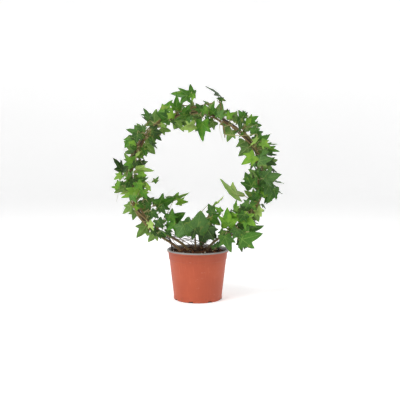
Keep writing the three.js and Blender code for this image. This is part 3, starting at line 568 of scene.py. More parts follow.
def evaluated(data: bpy.types.ID, modifier: tuple[str, dict[str, object]] | None = None
              ) -> bpy.types.Mesh:
    """Turns a curve, or a mesh with one modifier, into a plain mesh.

    Args:
        data: The curve or mesh, which is removed.
        modifier: A modifier's kind and its settings.

    Returns:
        The new mesh.
    """
    holder = bpy.data.objects.new("holder", data)
    bpy.context.scene.collection.objects.link(holder)
    if modifier:
        kind, settings = modifier
        added = holder.modifiers.new(kind.lower(), kind)
        for name, value in settings.items():
            setattr(added, name, value)
    graph = bpy.context.evaluated_depsgraph_get()
    mesh = bpy.data.meshes.new_from_object(holder.evaluated_get(graph))
    bpy.data.objects.remove(holder)
    (bpy.data.curves if isinstance(data, bpy.types.Curve) else bpy.data.meshes).remove(data)
    return mesh


@dataclass
class Strands:
    """Round strands gathered into one mesh: stems, stalks, rootlets or fibres.

    Attributes:
        rounding: Bevel resolution; 0 gives four sides and each step two more.
    """

    rounding: int = 0
    lines: list[tuple[list[Vector], list[float]]] = field(default_factory=list)

    def add(self, points: Sequence[Vector], radii: Sequence[float]) -> None:
        """Adds a strand through points, in metres, with a radius at each."""
        self.lines.append((list(points), list(radii)))

    def mesh(self, name: str) -> bpy.types.Mesh:
        """All strands as one mesh with closed ends."""
        curve = bpy.data.curves.new(name, "CURVE")
        curve.dimensions, curve.bevel_depth, curve.bevel_resolution = "3D", 1.0, self.rounding
        curve.use_fill_caps = True
        for points, radii in self.lines:
            spline = curve.splines.new("POLY")
            spline.points.add(len(points) - 1)
            for knot, point, radius in zip(spline.points, points, radii):
                knot.co, knot.radius = (*point, 1.0), radius
        return evaluated(curve)


def joined(parts: Sequence[tuple[bpy.types.Mesh, int | None]]) -> bpy.types.Mesh:
    """Joins meshes, giving each one's faces a material index, or leaving them their own."""
    bm = bmesh.new()
    for mesh, index in parts:
        start = len(bm.faces)
        bm.from_mesh(mesh)
        bm.faces.ensure_lookup_table()
        if index is not None:
            for face in bm.faces[start:]:
                face.material_index = index
        bpy.data.meshes.remove(mesh)
    whole = bpy.data.meshes.new("joined")
    bm.to_mesh(whole)
    bm.free()
    return whole


def smoothed(points: Sequence[Vector], pieces: int) -> list[Vector]:
    """A rounder line through points, with each stretch cut into pieces."""
    last = len(points) - 1
    line = []
    for i in range(last):
        a, b, c, d = (points[min(max(i + k, 0), last)] for k in (-1, 0, 1, 2))
        for step in range(pieces):
            t = step / pieces
            line.append(0.5 * ((2 * b) + (c - a) * t + (2 * a - 5 * b + 4 * c - d) * t ** 2
                               + (3 * b - a - 3 * c + d) * t ** 3))
    return [*line, points[last]]


# ------------------------------------------------------------------------------ sizes and routes
@dataclass(frozen=True)
class PotSizes:
    """Sizes of the pot and of the soil in it, in millimetres."""

    height: float = 98.0
    base_radius: float = 46.6
    waist_radius: float = 55.2
    band_height: float = 19.0
    band_step: float = 0.9
    band_flare: float = 1.2
    rim_radius: float = 60.0
    lip_height: float = 6.0
    wall: float = 1.5
    floor: float = 1.6
    foot_height: float = 6.5
    foot_step: float = 0.6
    drains: int = 8
    drain_width: float = 8.0
    drain_height: float = 3.0
    soil_below_rim: float = 6.0
    soil_mound: float = 5.0
    clearance: float = 0.3

    @property
    def band_foot(self) -> float:
        """Height at which the upper band starts."""
        return self.height - self.band_height

    @property
    def band_low_radius(self) -> float:
        """Outside radius at the band's foot."""
        return self.waist_radius + self.band_step

    @property
    def soil_edge(self) -> float:
        """Height of the soil where it meets the wall."""
        return self.height - self.soil_below_rim

    def wall_inside(self, z: float) -> float:
        """Inside radius of the wall at a height."""
        if z > self.band_foot:
            share = (z - self.band_foot) / self.band_height
            return self.band_low_radius + share * self.band_flare - self.wall
        share = z / self.band_foot
        return self.base_radius + share * (self.waist_radius - self.base_radius) - self.wall

    def soil_top(self, radius: float) -> float:
        """Height of the soil's surface at a distance from the axis."""
        share = min(radius / self.wall_inside(self.soil_edge), 1.0)
        return self.soil_edge + self.soil_mound * math.cos(share * math.pi / 2)


class Bezier:
    """A Bezier curve that is walked by its own length.

    Args:
        controls: Its control points.
    """

    STEPS = 200

    def __init__(self, *controls: Vector) -> None:
        """Measures the curve."""
        self.controls = controls
        walk = [self.point(i / self.STEPS) for i in range(self.STEPS + 1)]
        gaps = [(b - a).length for a, b in zip(walk, walk[1:])]
        self.lengths = np.concatenate(([0.0], np.cumsum(gaps)))

    @property
    def length(self) -> float:
        """Length of the whole curve."""
        return float(self.lengths[-1])

    def point(self, t: float) -> Vector:
        """Point at a raw parameter."""
        row = list(self.controls)
        while len(row) > 1:
            row = [a.lerp(b, t) for a, b in zip(row, row[1:])]
        return row[0]

    def raw(self, share: float) -> float:
        """Raw parameter at a share of the length."""
        return float(np.interp(share * self.length, self.lengths,
                               np.linspace(0.0, 1.0, self.STEPS + 1)))

    def at(self, share: float) -> Vector:
        """Point at a share of the length."""
        return self.point(self.raw(share))

    def heading(self, share: float) -> Vector:
        """Direction at a share of the length."""
        t = self.raw(share)
        return (self.point(min(t + 1e-4, 1.0)) - self.point(max(t - 1e-4, 0.0))).normalized()


@dataclass
class Vine:
    """A stem's middle line and its radius at each point, in millimetres."""

    name: str
    points: list[Vector]
    radii: list[float]


@dataclass(frozen=True)
class RingShoot:
    """A shoot that climbs from the soil and winds along the ring.

    Attributes:
        side: -1 starts on the left, 1 on the right.
        quarter: Its place in the bundle.
        leaves_at: Clock angle, in degrees, where it leaves the bundle.
        tip: Clock angle, distance outside the wire and depth of its tip.
    """

    name: str
    side: int
    quarter: int
    leaves_at: float
    tip: tuple[float, float, float]


@dataclass(frozen=True)
class LowShoot:
    """A short shoot low in the ring: foot and tip, and how far its tip is above the rim."""

    name: str
    foot: tuple[float, float]
    tip: tuple[float, float]
    rise: float


RING_SHOOTS = (
    RingShoot("left_shoot_1", -1, 0, -9, (-3, 34, -4)),
    RingShoot("left_shoot_2", -1, 1, 6, (17, 30, 2)),
    RingShoot("left_shoot_3", -1, 2, -46, (-35, 18, 0)),
    RingShoot("left_shoot_4", -1, 3, 26, (36, -30, -8)),
    RingShoot("right_shoot_1", 1, 0, -9, (-18, 24, 0)),
    RingShoot("right_shoot_2", 1, 1, 3, (13, 22, -8)),
    RingShoot("right_shoot_3", 1, 2, 50, (44, 16, -6)),
    RingShoot("right_shoot_4", 1, 3, 92, (99, 24, -4)),
)
LOW_SHOOTS = (
    LowShoot("low_shoot_1", (-4, -12), (-10, -16), 62),
    LowShoot("low_shoot_2", (6, 2), (30, -6), 84),
    LowShoot("low_shoot_3", (14, -16), (56, -22), 30),
)


def closest(p: Vector, q: Vector, r: Vector, s: Vector) -> tuple[Vector, Vector]:
    """Closest points of the stretches p-q and r-s."""
    d1, d2, gap = q - p, s - r, p - r
    a, e, f = d1.dot(d1), d2.dot(d2), d2.dot(gap)
    c, b = d1.dot(gap), d1.dot(d2)
    denominator = a * e - b * b
    t1 = min(max((b * f - c * e) / denominator, 0.0), 1.0) if denominator > 1e-12 else 0.0
    t2 = (b * t1 + f) / e
    if t2 < 0.0:
        t1, t2 = min(max(-c / a, 0.0), 1.0), 0.0
    elif t2 > 1.0:
        t1, t2 = min(max((b - c) / a, 0.0), 1.0), 1.0
    return p + d1 * t1, r + d2 * t2


@dataclass
class Routes:
    """Where the wire and the stems run, in millimetres."""

    pot: PotSizes
    ring_radius: float = 126.5
    ring_above_rim: float = 136.0
    ring_shift: float = -5.0
    leg_inset: float = 5.5
    leg_bend: float = 14.0
    leg_end: float = 14.0
    wire_radius: float = 1.6
    wire_steps: int = 152
    base_radius: float = 1.8
    tip_radius: float = 0.85
    step: float = 15.0
    bundle_radius: float = 5.4
    crown_radius: float = 13.0
    crown_spread: float = 22.0
    rooted_depth: float = 12.0
    stem_room: float = 0.8
    settle_rounds: int = 80
    join: float = math.radians(146.0)
    winding_turns: float = 4.625

    @property
    def centre(self) -> Vector:
        """Middle of the ring."""
        return Vector((self.ring_shift, 0.0, self.pot.height + self.ring_above_rim))

    def beside(self, clock: float, out: float, depth: float) -> Vector:
        """Point beside the ring: clock angle in radians, distance outside the wire, depth."""
        reach = self.ring_radius + out
        return self.centre + Vector((reach * math.sin(clock), depth, reach * math.cos(clock)))

    def wire(self, steps: int) -> list[Vector]:
        """Evenly spaced points along the wire: leg, bend, ring, bend, leg."""
        pot, middle, bend_radius = self.pot, self.centre, self.leg_bend
        straight = pot.band_foot - pot.band_step
        lean = math.atan2(pot.wall_inside(straight) - pot.wall_inside(0.0), straight)
        spread = pot.wall_inside(self.leg_end) - self.leg_inset - abs(middle.x)
        along = Vector((-math.sin(lean), math.cos(lean)))
        aside = Vector((-math.cos(lean), -math.sin(lean)))
        foot = Vector((-spread, self.leg_end - middle.z))
        start = foot + aside * bend_radius
        rise = start.dot(along)
        reach = math.sqrt(rise ** 2 - start.length_squared
                          + (self.ring_radius + bend_radius) ** 2)
        hub = start - along * (rise + reach)
        bend = math.atan2(-hub.y, -hub.x)
        knee = foot - along * (rise + reach)
        leg, arc = (knee - foot).length, bend_radius * (bend - lean)
        round_length = self.ring_radius * (math.pi + 2 * bend)
        total = 2 * leg + 2 * arc + round_length

        def at(distance: float) -> Vector:
            """Point on the left half of the wire, up to the top of the ring."""
            if distance < leg:
                return foot.lerp(knee, distance / leg)
            if distance < leg + arc:
                turn = lean + (distance - leg) / bend_radius
                return hub + bend_radius * Vector((math.cos(turn), math.sin(turn)))
            turn = math.pi + bend - (distance - leg - arc) / self.ring_radius
            return self.ring_radius * Vector((math.cos(turn), math.sin(turn)))

        points = []
        for i in range(steps + 1):
            distance = total * i / steps
            mirrored = distance > total / 2
            flat = at(total - distance if mirrored else distance)
            points.append(middle + Vector((-flat.x if mirrored else flat.x, 0.0, flat.y)))
        return points

    def winding(self, shoot: RingShoot) -> list[Vector]:
        """Middle line of a shoot that winds along the ring to its free tip."""
        twist = self.winding_turns * math.pi / self.join
        join, side = shoot.side * self.join, shoot.side
        tip_clock, tip_out, tip_depth = shoot.tip

        def phase(clock: float) -> float:
            """Turn of the bundle at a clock angle."""
            return (shoot.quarter + 0.5) * math.pi / 2 + twist * (clock - join)

        foot = Vector((side * self.crown_spread, 0.0, self.pot.soil_edge - self.rooted_depth))
        met = self.beside(join, 0.0, 0.0)
        ahead = Vector((math.cos(join), 0.0, -math.sin(join))) * -side
        rise = Bezier(foot, foot + Vector((0.0, 0.0, self.rooted_depth + 12.0)),
                      met - ahead * 22.0, met)
        points, steps = [], math.ceil(rise.length / self.step * 1.6)
        for i in range(steps):
            share = i / steps
            heading = rise.heading(share)
            outward = Vector((heading.z, 0.0, -heading.x)) * side
            spread = self.crown_radius + (self.bundle_radius - self.crown_radius) * share ** 0.5
            turn = phase(join)
            points.append(rise.at(share) + outward * spread * math.cos(turn)
                          + Vector((0.0, spread * math.sin(turn), 0.0)))
        wanted, aim = (0.0 if tip_out > 0 else math.pi), math.radians(shoot.leaves_at)
        turns = math.floor((phase(aim) - wanted) / (2 * math.pi) + 0.5)
        end = aim + (wanted + 2 * math.pi * turns - phase(aim)) / twist
        steps = math.ceil(self.ring_radius * abs(end - join) / self.step)
        for i in range(steps + 1):
            clock = join + (end - join) * i / steps
            points.append(self.beside(clock, self.bundle_radius * math.cos(phase(clock)),
                                      self.bundle_radius * math.sin(phase(clock))))
        tip = self.beside(math.radians(tip_clock), tip_out, tip_depth)
        heading = (points[-1] - points[-2]).normalized()
        free = Bezier(points[-1], points[-1] + heading * (tip - points[-1]).length * 0.45, tip)
        steps = math.ceil(free.length / self.step)
        return points + [free.at((i + 1) / steps) for i in range(steps)]

    def upright(self, shoot: LowShoot) -> list[Vector]:
        """Middle line of a short shoot in the lower part of the ring."""
        foot = Vector((*shoot.foot, self.pot.soil_edge - self.rooted_depth))
        tip = Vector((*shoot.tip, self.pot.height + shoot.rise))
        knee = Vector((*shoot.foot, foot.z + (tip.z - foot.z) * 0.6))
        curve = Bezier(foot, knee, tip)
        steps = math.ceil(curve.length / self.step)
        return [curve.at(i / steps) for i in range(steps + 1)]

    def vines(self) -> list[Vine]:
        """Every stem, settled clear of the others and of the wire."""
        lines = [(shoot.name, self.winding(shoot)) for shoot in RING_SHOOTS]
        lines += [(shoot.name, self.upright(shoot)) for shoot in LOW_SHOOTS]
        vines = []
        for name, points in lines:
            last = len(points) - 1
            radii = [self.base_radius + (self.tip_radius - self.base_radius) * i / last
                     for i in range(last + 1)]
            vines.append(Vine(name, points, radii))
        wire = self.wire(self.wire_steps)
        self._settle(vines, Vine("wire", wire, [self.wire_radius] * len(wire)))
        return vines

    def _settle(self, vines: list[Vine], wire: Vine) -> None:
        """Pushes stems apart, and away from the wire, until each has its room."""
        never = 9.0    # pairs further apart than this never come to touch
        pairs = []
        for vine in vines:
            for other in [*vines, wire]:
                if other is vine:
                    continue
                for j in range(1, len(other.points)):
                    start = other.points[j - 1]
                    for i in range(1, len(vine.points)):
                        end = vine.points[i]
                        if abs(end.x - start.x) > 2 * self.step:
                            continue
                        if abs(end.z - start.z) > 2 * self.step:
                            continue
                        near, far = closest(vine.points[i - 1], end, start, other.points[j])
                        if (near - far).length < never:
                            room = vine.radii[i - 1] + other.radii[j - 1] + self.stem_room
                            pairs.append((vine.points, i, other.points, j, room))
        for _ in range(self.settle_rounds):
            moved = False
            for points, i, others, j, room in pairs:
                start = points[i - 1]
                near, far = closest(start, points[i], others[j - 1], others[j])
                apart = near - far
                gap = apart.length
                if gap >= room or gap == 0.0:
                    continue
                share = (near - start).length / (points[i] - start).length
                push = apart * ((room - gap) * 0.5 / gap)
                if i > 1:
                    points[i - 1] = start + push * (1.0 - share)
                points[i] = points[i] + push * share
                moved = True
            if not moved:
                break


# ------------------------------------------------------------------------------ leaves
@dataclass
class LeafPlace:
    """A leaf as it stands in the frame, in metres, its shape as shares of its length.

    Attributes:
        junction: Where the blade meets its stalk.
        across: Direction across the blade, to its right seen from above.
        along: Direction from the stalk to the tip.
        up: Direction out of the upper face.
        stalk: Start, bend and end of the stalk.
    """

    junction: Vector
    across: Vector
    along: Vector
    up: Vector
    length: float
    breadth: float
    lobing: float
    basal: float
    curl: float
    fold: float
    stalk: tuple[Vector, Vector, Vector]


@dataclass(frozen=True)
class BladeShape:
    """The frame's blade, as shares of its length: what its outline points mean."""

    points: int = 12
    sinus: float = 0.43
    side_tip: tuple[float, float] = (0.57, 0.5)
    low_sinus: float = 0.14
    low_lift: float = 0.02
    junction: float = 0.06
    sinus_base: float = 0.14
    sinus_gain: float = 0.1
    half_thickness: float = 0.00055
    stalk_radius: float = 0.0006


class LeafReader:
    """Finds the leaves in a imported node: a blade fans out from one point to twelve.

    Args:
        shape: What the outline points stand for.
    """

    def __init__(self, shape: BladeShape) -> None:
        """Keeps the shape."""
        self.shape = shape

    def read(self, node: str) -> list[LeafPlace]:
        """Every leaf of a node, from the highest to the lowest."""
        bm = bmesh.new()
        bm.from_mesh(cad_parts[node].data)
        bmesh.ops.remove_doubles(bm, verts=bm.verts, dist=2e-6)
        found = []
        for vert in bm.verts:
            ring = self._ring(vert)
            if ring:
                found.append(self._place(vert, ring))
        bm.free()
        found.sort(key=lambda leaf: (-leaf.junction.z, leaf.junction.x))
        return found

    def _ring(self, apex: bmesh.types.BMVert) -> list[bmesh.types.BMVert] | None:
        """The outline round a blade's apex from its tip leftwards, or None for other points."""
        if len(apex.link_faces) != self.shape.points:
            return None
        follows = {}
        for face in apex.link_faces:
            if len(face.verts) != 3:
                return None
            corners = [loop.vert for loop in face.loops]
            k = corners.index(apex)
            follows[corners[(k + 1) % 3]] = corners[(k + 2) % 3]
        ring = [max(follows, key=lambda vert: (vert.co - apex.co).length)]
        while len(ring) < len(follows) and follows.get(ring[-1]) is not None:
            ring.append(follows[ring[-1]])
        return ring if len(set(ring)) == self.shape.points else None

    def _place(self, apex: bmesh.types.BMVert, ring: list[bmesh.types.BMVert]) -> LeafPlace:
        """Works a leaf's frame and shape out from its outline."""
        shape = self.shape
        tip, _, left_sinus, left_tip, left_low, left_base = (vert.co for vert in ring[:6])
        right_base, right_low, right_tip, right_sinus = (vert.co for vert in ring[7:11])
        across = (right_tip - left_tip).normalized()
        high, low = (left_sinus + right_sinus) / 2, (left_low + right_low) / 2
        along = (high - low).normalized()
        length = (high - low).length / (shape.sinus - shape.low_sinus)
        up = across.cross(along).normalized()
        junction = (low - along * (shape.low_sinus - shape.junction) * length
                    - up * shape.low_lift * length)
        breadth = (right_tip - left_tip).length / (2 * shape.side_tip[0] * length)
        sinus = (right_sinus - left_sinus).length / (2 * length * breadth)
        base = ((left_base + right_base) / 2 - junction).dot(along) / length + shape.junction
        return LeafPlace(
            junction=junction, across=across, along=along, up=up, length=length,
            breadth=breadth, lobing=(sinus - shape.sinus_base) / shape.sinus_gain, basal=-base,
            curl=-(tip - junction).dot(up) / length,
            fold=-((left_tip + right_tip) / 2 - junction).dot(up) / length,
            stalk=self._stalk(apex, ring, junction - up * shape.half_thickness, along, up))

    def _stalk(self, apex: bmesh.types.BMVert, ring: list[bmesh.types.BMVert], start: Vector,
               along: Vector, up: Vector) -> tuple[Vector, Vector, Vector]:
        """Follows a stalk from under its blade to its bend and its end."""
        seen = {apex, *ring}
        rungs = [{vert for outer in ring for vert in self._beyond(outer, seen)
                  if (vert.co - start).length < 1.3 * self.shape.stalk_radius}]
        for _ in range(2):
            seen |= rungs[-1]
            rungs.append({vert for inner in rungs[-1] for vert in self._beyond(inner, seen)})
        if not all(rungs):
            bend = start - along * 0.004 - up * 0.003
            return start, bend, bend + (bend - start)
        bend, end = (sum((vert.co for vert in rung), Vector()) / len(rung) for rung in rungs[1:])
        return start, bend, end

    @staticmethod
    def _beyond(vert: bmesh.types.BMVert,
                seen: set[bmesh.types.BMVert]) -> list[bmesh.types.BMVert]:
        """Neighbours of a point that haven't been met."""
        return [edge.other_vert(vert) for edge in vert.link_edges
                if edge.other_vert(vert) not in seen]


@dataclass(frozen=True)
class Patch:
    """A part of the plant whose leaves share a look: its middle and reach, in millimetres."""

    x: float
    z: float
    reach: float
    tone: float
    painted_sheen: float = 0.0
    roundness: float = 0.0


PATCHES = (
    # young, yellow-green leaves
    Patch(-16, 380, 15, 0.74), Patch(-53, 362, 16, 0.8), Patch(38, 347, 13, 0.92),
    Patch(-24, 333, 16, 0.78), Patch(-166, 219, 13, 0.8), Patch(-99, 217, 12, 0.86),
    Patch(-119, 277, 13, 0.74), Patch(-134, 204, 14, 0.78), Patch(-113, 155, 15, 0.84),
    Patch(-121, 178, 10, 0.86), Patch(-91, 142, 12, 0.8), Patch(-35, 192, 12, 0.9),
    Patch(125, 260, 12, 0.96), Patch(115, 169, 13, 0.82), Patch(40, 188, 14, 0.82),
    Patch(69, 186, 10, 0.7), Patch(-101, 248, 14, 0.72), Patch(62, 219, 26, 0.66, 0.1),
    Patch(-55, 152, 16, 0.5, 0.0, 0.2), Patch(-134, 265, 10, 0.6),
    # old, dark leaves
    Patch(-80, 322, 14, 0.16), Patch(-115, 264, 14, 0.1), Patch(-86, 192, 14, 0.12),
    Patch(-70, 160, 14, 0.22), Patch(13, 134, 20, 0.06, 0.25, 0.45),
    Patch(30, 115, 18, 0.08, 0.1, 0.3), Patch(77, 337, 16, 0.2), Patch(69, 124, 14, 0.24, 0.4),
    # glossy leaves, greyed by painted sheen
    Patch(-115, 327, 16, 0.36, 0.6), Patch(40, 362, 10, 0.5, 0.6), Patch(127, 273, 15, 0.4, 0.6),
    Patch(139, 233, 15, 0.4, 0.55), Patch(-35, 135, 20, 0.4, 0.6, 0.55),
    Patch(0, 160, 22, 0.42, 0.5, 0.8), Patch(16, 180, 16, 0.38, 0.3, 0.6),
)


@dataclass
class Foliage:
    """Turns leaves of the frame into fine blades with stalks."""

    palette: Palette
    shape: BladeShape
    thickness: float = 0.0004
    points: int = 30
    inner: float = 0.56

    def __post_init__(self) -> None:
        """Makes the flat pattern that every blade is shaped from."""
        bm = bmesh.new()
        bmesh.ops.create_circle(bm, cap_ends=True, radius=1.0, segments=self.points)
        bm.faces.ensure_lookup_table()
        heart = bm.faces[0]
        inset = (1.0 - self.inner) * math.cos(math.pi / self.points)
        bmesh.ops.inset_region(bm, faces=[heart], thickness=inset, use_even_offset=True)
        bmesh.ops.poke(bm, faces=[heart])
        bmesh.ops.recalc_face_normals(bm, faces=bm.faces)
        if sum(face.normal.z for face in bm.faces) < 0:
            bmesh.ops.reverse_faces(bm, faces=bm.faces)
        self.pattern = bpy.data.meshes.new("blade_pattern")
        bm.to_mesh(self.pattern)
        # each point's place: its number round the outline from the tip, and its share outwards
        self.roles = []
        for vert in bm.verts:
            turn = math.atan2(-vert.co.x, vert.co.y) / (2 * math.pi) * self.points
            share = vert.co.xy.length
            self.roles.append((round(turn) % self.points, min(share, 1.0)))
        bm.free()

    def look(self, leaf: LeafPlace, rng: random.Random) -> Patch:
        """Tone, painted sheen and roundness of a leaf from where it grows, with painted shade on
        leaves further back.
        """
        middle = leaf.junction + leaf.along * leaf.length * 0.4
        x, z = middle.x / MM, middle.z / MM
        tone, painted_sheen = rng.uniform(0.14, 0.76), max(0.0, rng.uniform(-0.4, 0.35))
        roundness = rng.uniform(0.0, 0.25)
        # painted shade: leaves darken from 20 mm in front of the ring's middle to 4 mm behind it,
        # down to 0.6 of their tone
        tone *= 0.6 + 0.4 * min(max((0.004 - middle.y) / 0.024, 0.0), 1.0)
        # leaves further back keep that painted shade, get half the painted sheen and take no
        # patch's look
        if middle.y > 0.004:
            return Patch(x, z, 0.0, tone, painted_sheen * 0.5, roundness)
        near = min(PATCHES, key=lambda patch: math.hypot(x - patch.x, z - patch.z) / patch.reach)
        closeness = 1.25 - math.hypot(x - near.x, z - near.z) / near.reach
        share = min(max(closeness, 0.0), 1.0) * (1.0 if closeness > 0.25 else 0.5)
        return Patch(x, z, 0.0, tone + (near.tone - tone) * share,
                     painted_sheen + (near.painted_sheen - painted_sheen) * share,
                     max(roundness, near.roundness * share))

    def margin(self, leaf: LeafPlace, roundness: float,
               rng: random.Random) -> list[tuple[float, float, float]]:
        """Outline of a blade: across, along and lift, as shares of its length."""
        b, curl, fold, base = leaf.breadth, leaf.curl, leaf.fold, leaf.basal
        sinus = self.shape.sinus_base + self.shape.sinus_gain * leaf.lobing
        lobed = (
            (0.082, 0.87, -0.62 * curl), (0.152, 0.73, -0.3 * curl),
            (0.2, 0.575, -0.08 * curl), (sinus, 0.43, 0.02),
            (0.34, 0.45, 0.005 - 0.25 * fold), (0.46, 0.492, -0.62 * fold),
            (0.57, 0.5, -fold), (0.515, 0.375, -0.55 * fold), (0.435, 0.25, 0.01 - 0.2 * fold),
            (0.37, 0.14, 0.02), (0.405, 0.05, 0.01 - 0.25 * fold),
            (0.43, -0.5 * base, -0.45 * fold), (0.36, -base, -0.6 * fold),
            (0.17, -0.75 * base, -0.25 * fold),
        )
        rounded = ((0.12, 0.9), (0.235, 0.78), (0.34, 0.67), (0.43, 0.585), (0.5, 0.53),
                   (0.55, 0.5), (0.585, 0.44), (0.575, 0.34), (0.555, 0.24), (0.525, 0.14),
                   (0.49, 0.04), (0.44, -0.6 * base), (0.35, -base), (0.17, -0.75 * base))
        sweep, ripple, turn = rng.uniform(-0.06, 0.06), rng.uniform(0.006, 0.02), rng.random() * 6
        outline = []
        for side in (-1, 1):
            half = []
            for (u, v, lift), (wide, far) in zip(lobed, rounded):
                uneven = 1.0 + rng.uniform(-0.05, 0.05)
                u, v = u + (wide - u) * roundness, v + (far - v) * roundness
                half.append((side * u * b * uneven, v, lift))
            outline.append(half)
        left, right = outline
        whole = [(0.0, 1.0, -curl), *left, (0.0, -0.03, 0.0), *reversed(right)]
        return [(u + sweep * v * v, v, lift + ripple * math.sin(i * 2.3 + turn))
                for i, (u, v, lift) in enumerate(whole)]

    def blades(self, leaves: Sequence[LeafPlace], rng: random.Random) -> bpy.types.Mesh:
        """Thin closed blades of some leaves, upper faces first and undersides second."""
        bm = bmesh.new()
        blade = bm.verts.layers.float_vector.new("blade")
        looks = bm.verts.layers.float_vector.new("look")
        for leaf in leaves:
            look, mark = self.look(leaf, rng), rng.random()
            age = rng.random() ** 3
            margin = self.margin(leaf, look.roundness, rng)
            veined = {0, 7, 13, 17, 23}
            start = len(bm.verts)
            bm.from_mesh(self.pattern)
            bm.verts.ensure_lookup_table()
            for vert, (number, share) in zip(bm.verts[start:], self.roles):
                u, v, lift = margin[number]
                along = (v - self.shape.junction) * share
                if share < 0.99:
                    puff = 0.0 if share < 0.1 else (-0.004 if number in veined else 0.022)
                    lift = lift * share ** 2 + puff
                vert.co = (leaf.junction + leaf.across * u * share * leaf.length
                           + leaf.along * along * leaf.length + leaf.up * lift * leaf.length)
                vert[blade] = (u * share, along, mark)
                vert[looks] = (look.tone, look.painted_sheen, age)
        sheet = bpy.data.meshes.new("blades")
        bm.to_mesh(sheet)
        bm.free()
        for finish in (Finish.LEAF, Finish.UNDERSIDE):
            sheet.materials.append(self.palette.get(finish))
        return evaluated(sheet, ("SOLIDIFY", {
            "thickness": self.thickness, "offset": 0.0, "material_offset": 1,
            "material_offset_rim": 0, "use_quality_normals": True}))

    def stalks(self, leaves: Sequence[LeafPlace], rng: random.Random,
               reach: float) -> bpy.types.Mesh:
        """Stalks of some leaves, each carried on by a reach past its end."""
        strands = Strands(rounding=1)
        for leaf in leaves:
            start, bend, end = leaf.stalk
            end = end + (end - bend).normalized() * reach
            sag = Vector((rng.uniform(-1, 1), rng.uniform(-1, 1), -1.0)) * (end - bend).length
            points = smoothed([start, bend, bend.lerp(end, 0.5) + sag * 0.04, end], 3)
            last = len(points) - 1
            thick = 0.00042 + 0.006 * leaf.length
            strands.add(points, [thick * (0.8 + 0.5 * i / last) for i in range(last + 1)])
        return strands.mesh("stalks")

    def piece(self, name: str, leaves: Sequence[LeafPlace], slot: str,
              node: str | None = None) -> bpy.types.Object:
        """Blades and stalks of some leaves as one piece, or of one node's leaf."""
        rng = random.Random(name)
        reach = 0.0011 if node else 0.0002
        mesh = joined([(self.blades(leaves, rng), None), (self.stalks(leaves, rng, reach), 2)])
        return new_piece(name, mesh, self.palette, (Finish.LEAF, Finish.UNDERSIDE, Finish.STALK),
                         node, sharp=42.0)


# ------------------------------------------------------------------------------ sub-assemblies
def rounded_profile(profile: Sequence[tuple[float, float]], radius: float,
                    steps: int = 3) -> list[tuple[float, float]]:
    """A profile with its inner corners rounded.

    Args:
        profile: Pairs of radius and height.
        radius: How far from each corner its rounding starts, at most.
        steps: Straight pieces in each rounding.

    Returns:
        The new pairs; the two ends stay as they are.
    """
    corners = [Vector(pair) for pair in profile]
    line = [profile[0]]
    for before, corner, after in zip(corners, corners[1:], corners[2:]):
        cut = min(radius, (corner - before).length * 0.45, (after - corner).length * 0.45)
        start = corner + (before - corner).normalized() * cut
        end = corner + (after - corner).normalized() * cut
        for step in range(steps + 1):
            t = step / steps
            point = start.lerp(corner, t).lerp(corner.lerp(end, t), t)
            line.append((point.x, point.y))
    return [*line, profile[-1]]


def turned(profile: Sequence[tuple[float, float]], steps: int) -> bmesh.types.BMesh:
    """Spins a profile, in millimetres and open at the axis, into a closed solid in metres."""
    bm = bmesh.new()
    verts = [bm.verts.new((radius * MM, 0.0, z * MM)) for radius, z in profile]
    edges = [bm.edges.new(pair) for pair in zip(verts, verts[1:])]
    bmesh.ops.spin(bm, geom=[*verts, *edges], cent=(0, 0, 0), axis=(0, 0, 1),
                   angle=2 * math.pi, steps=steps, use_merge=True)
    clean(bm)
    return bm


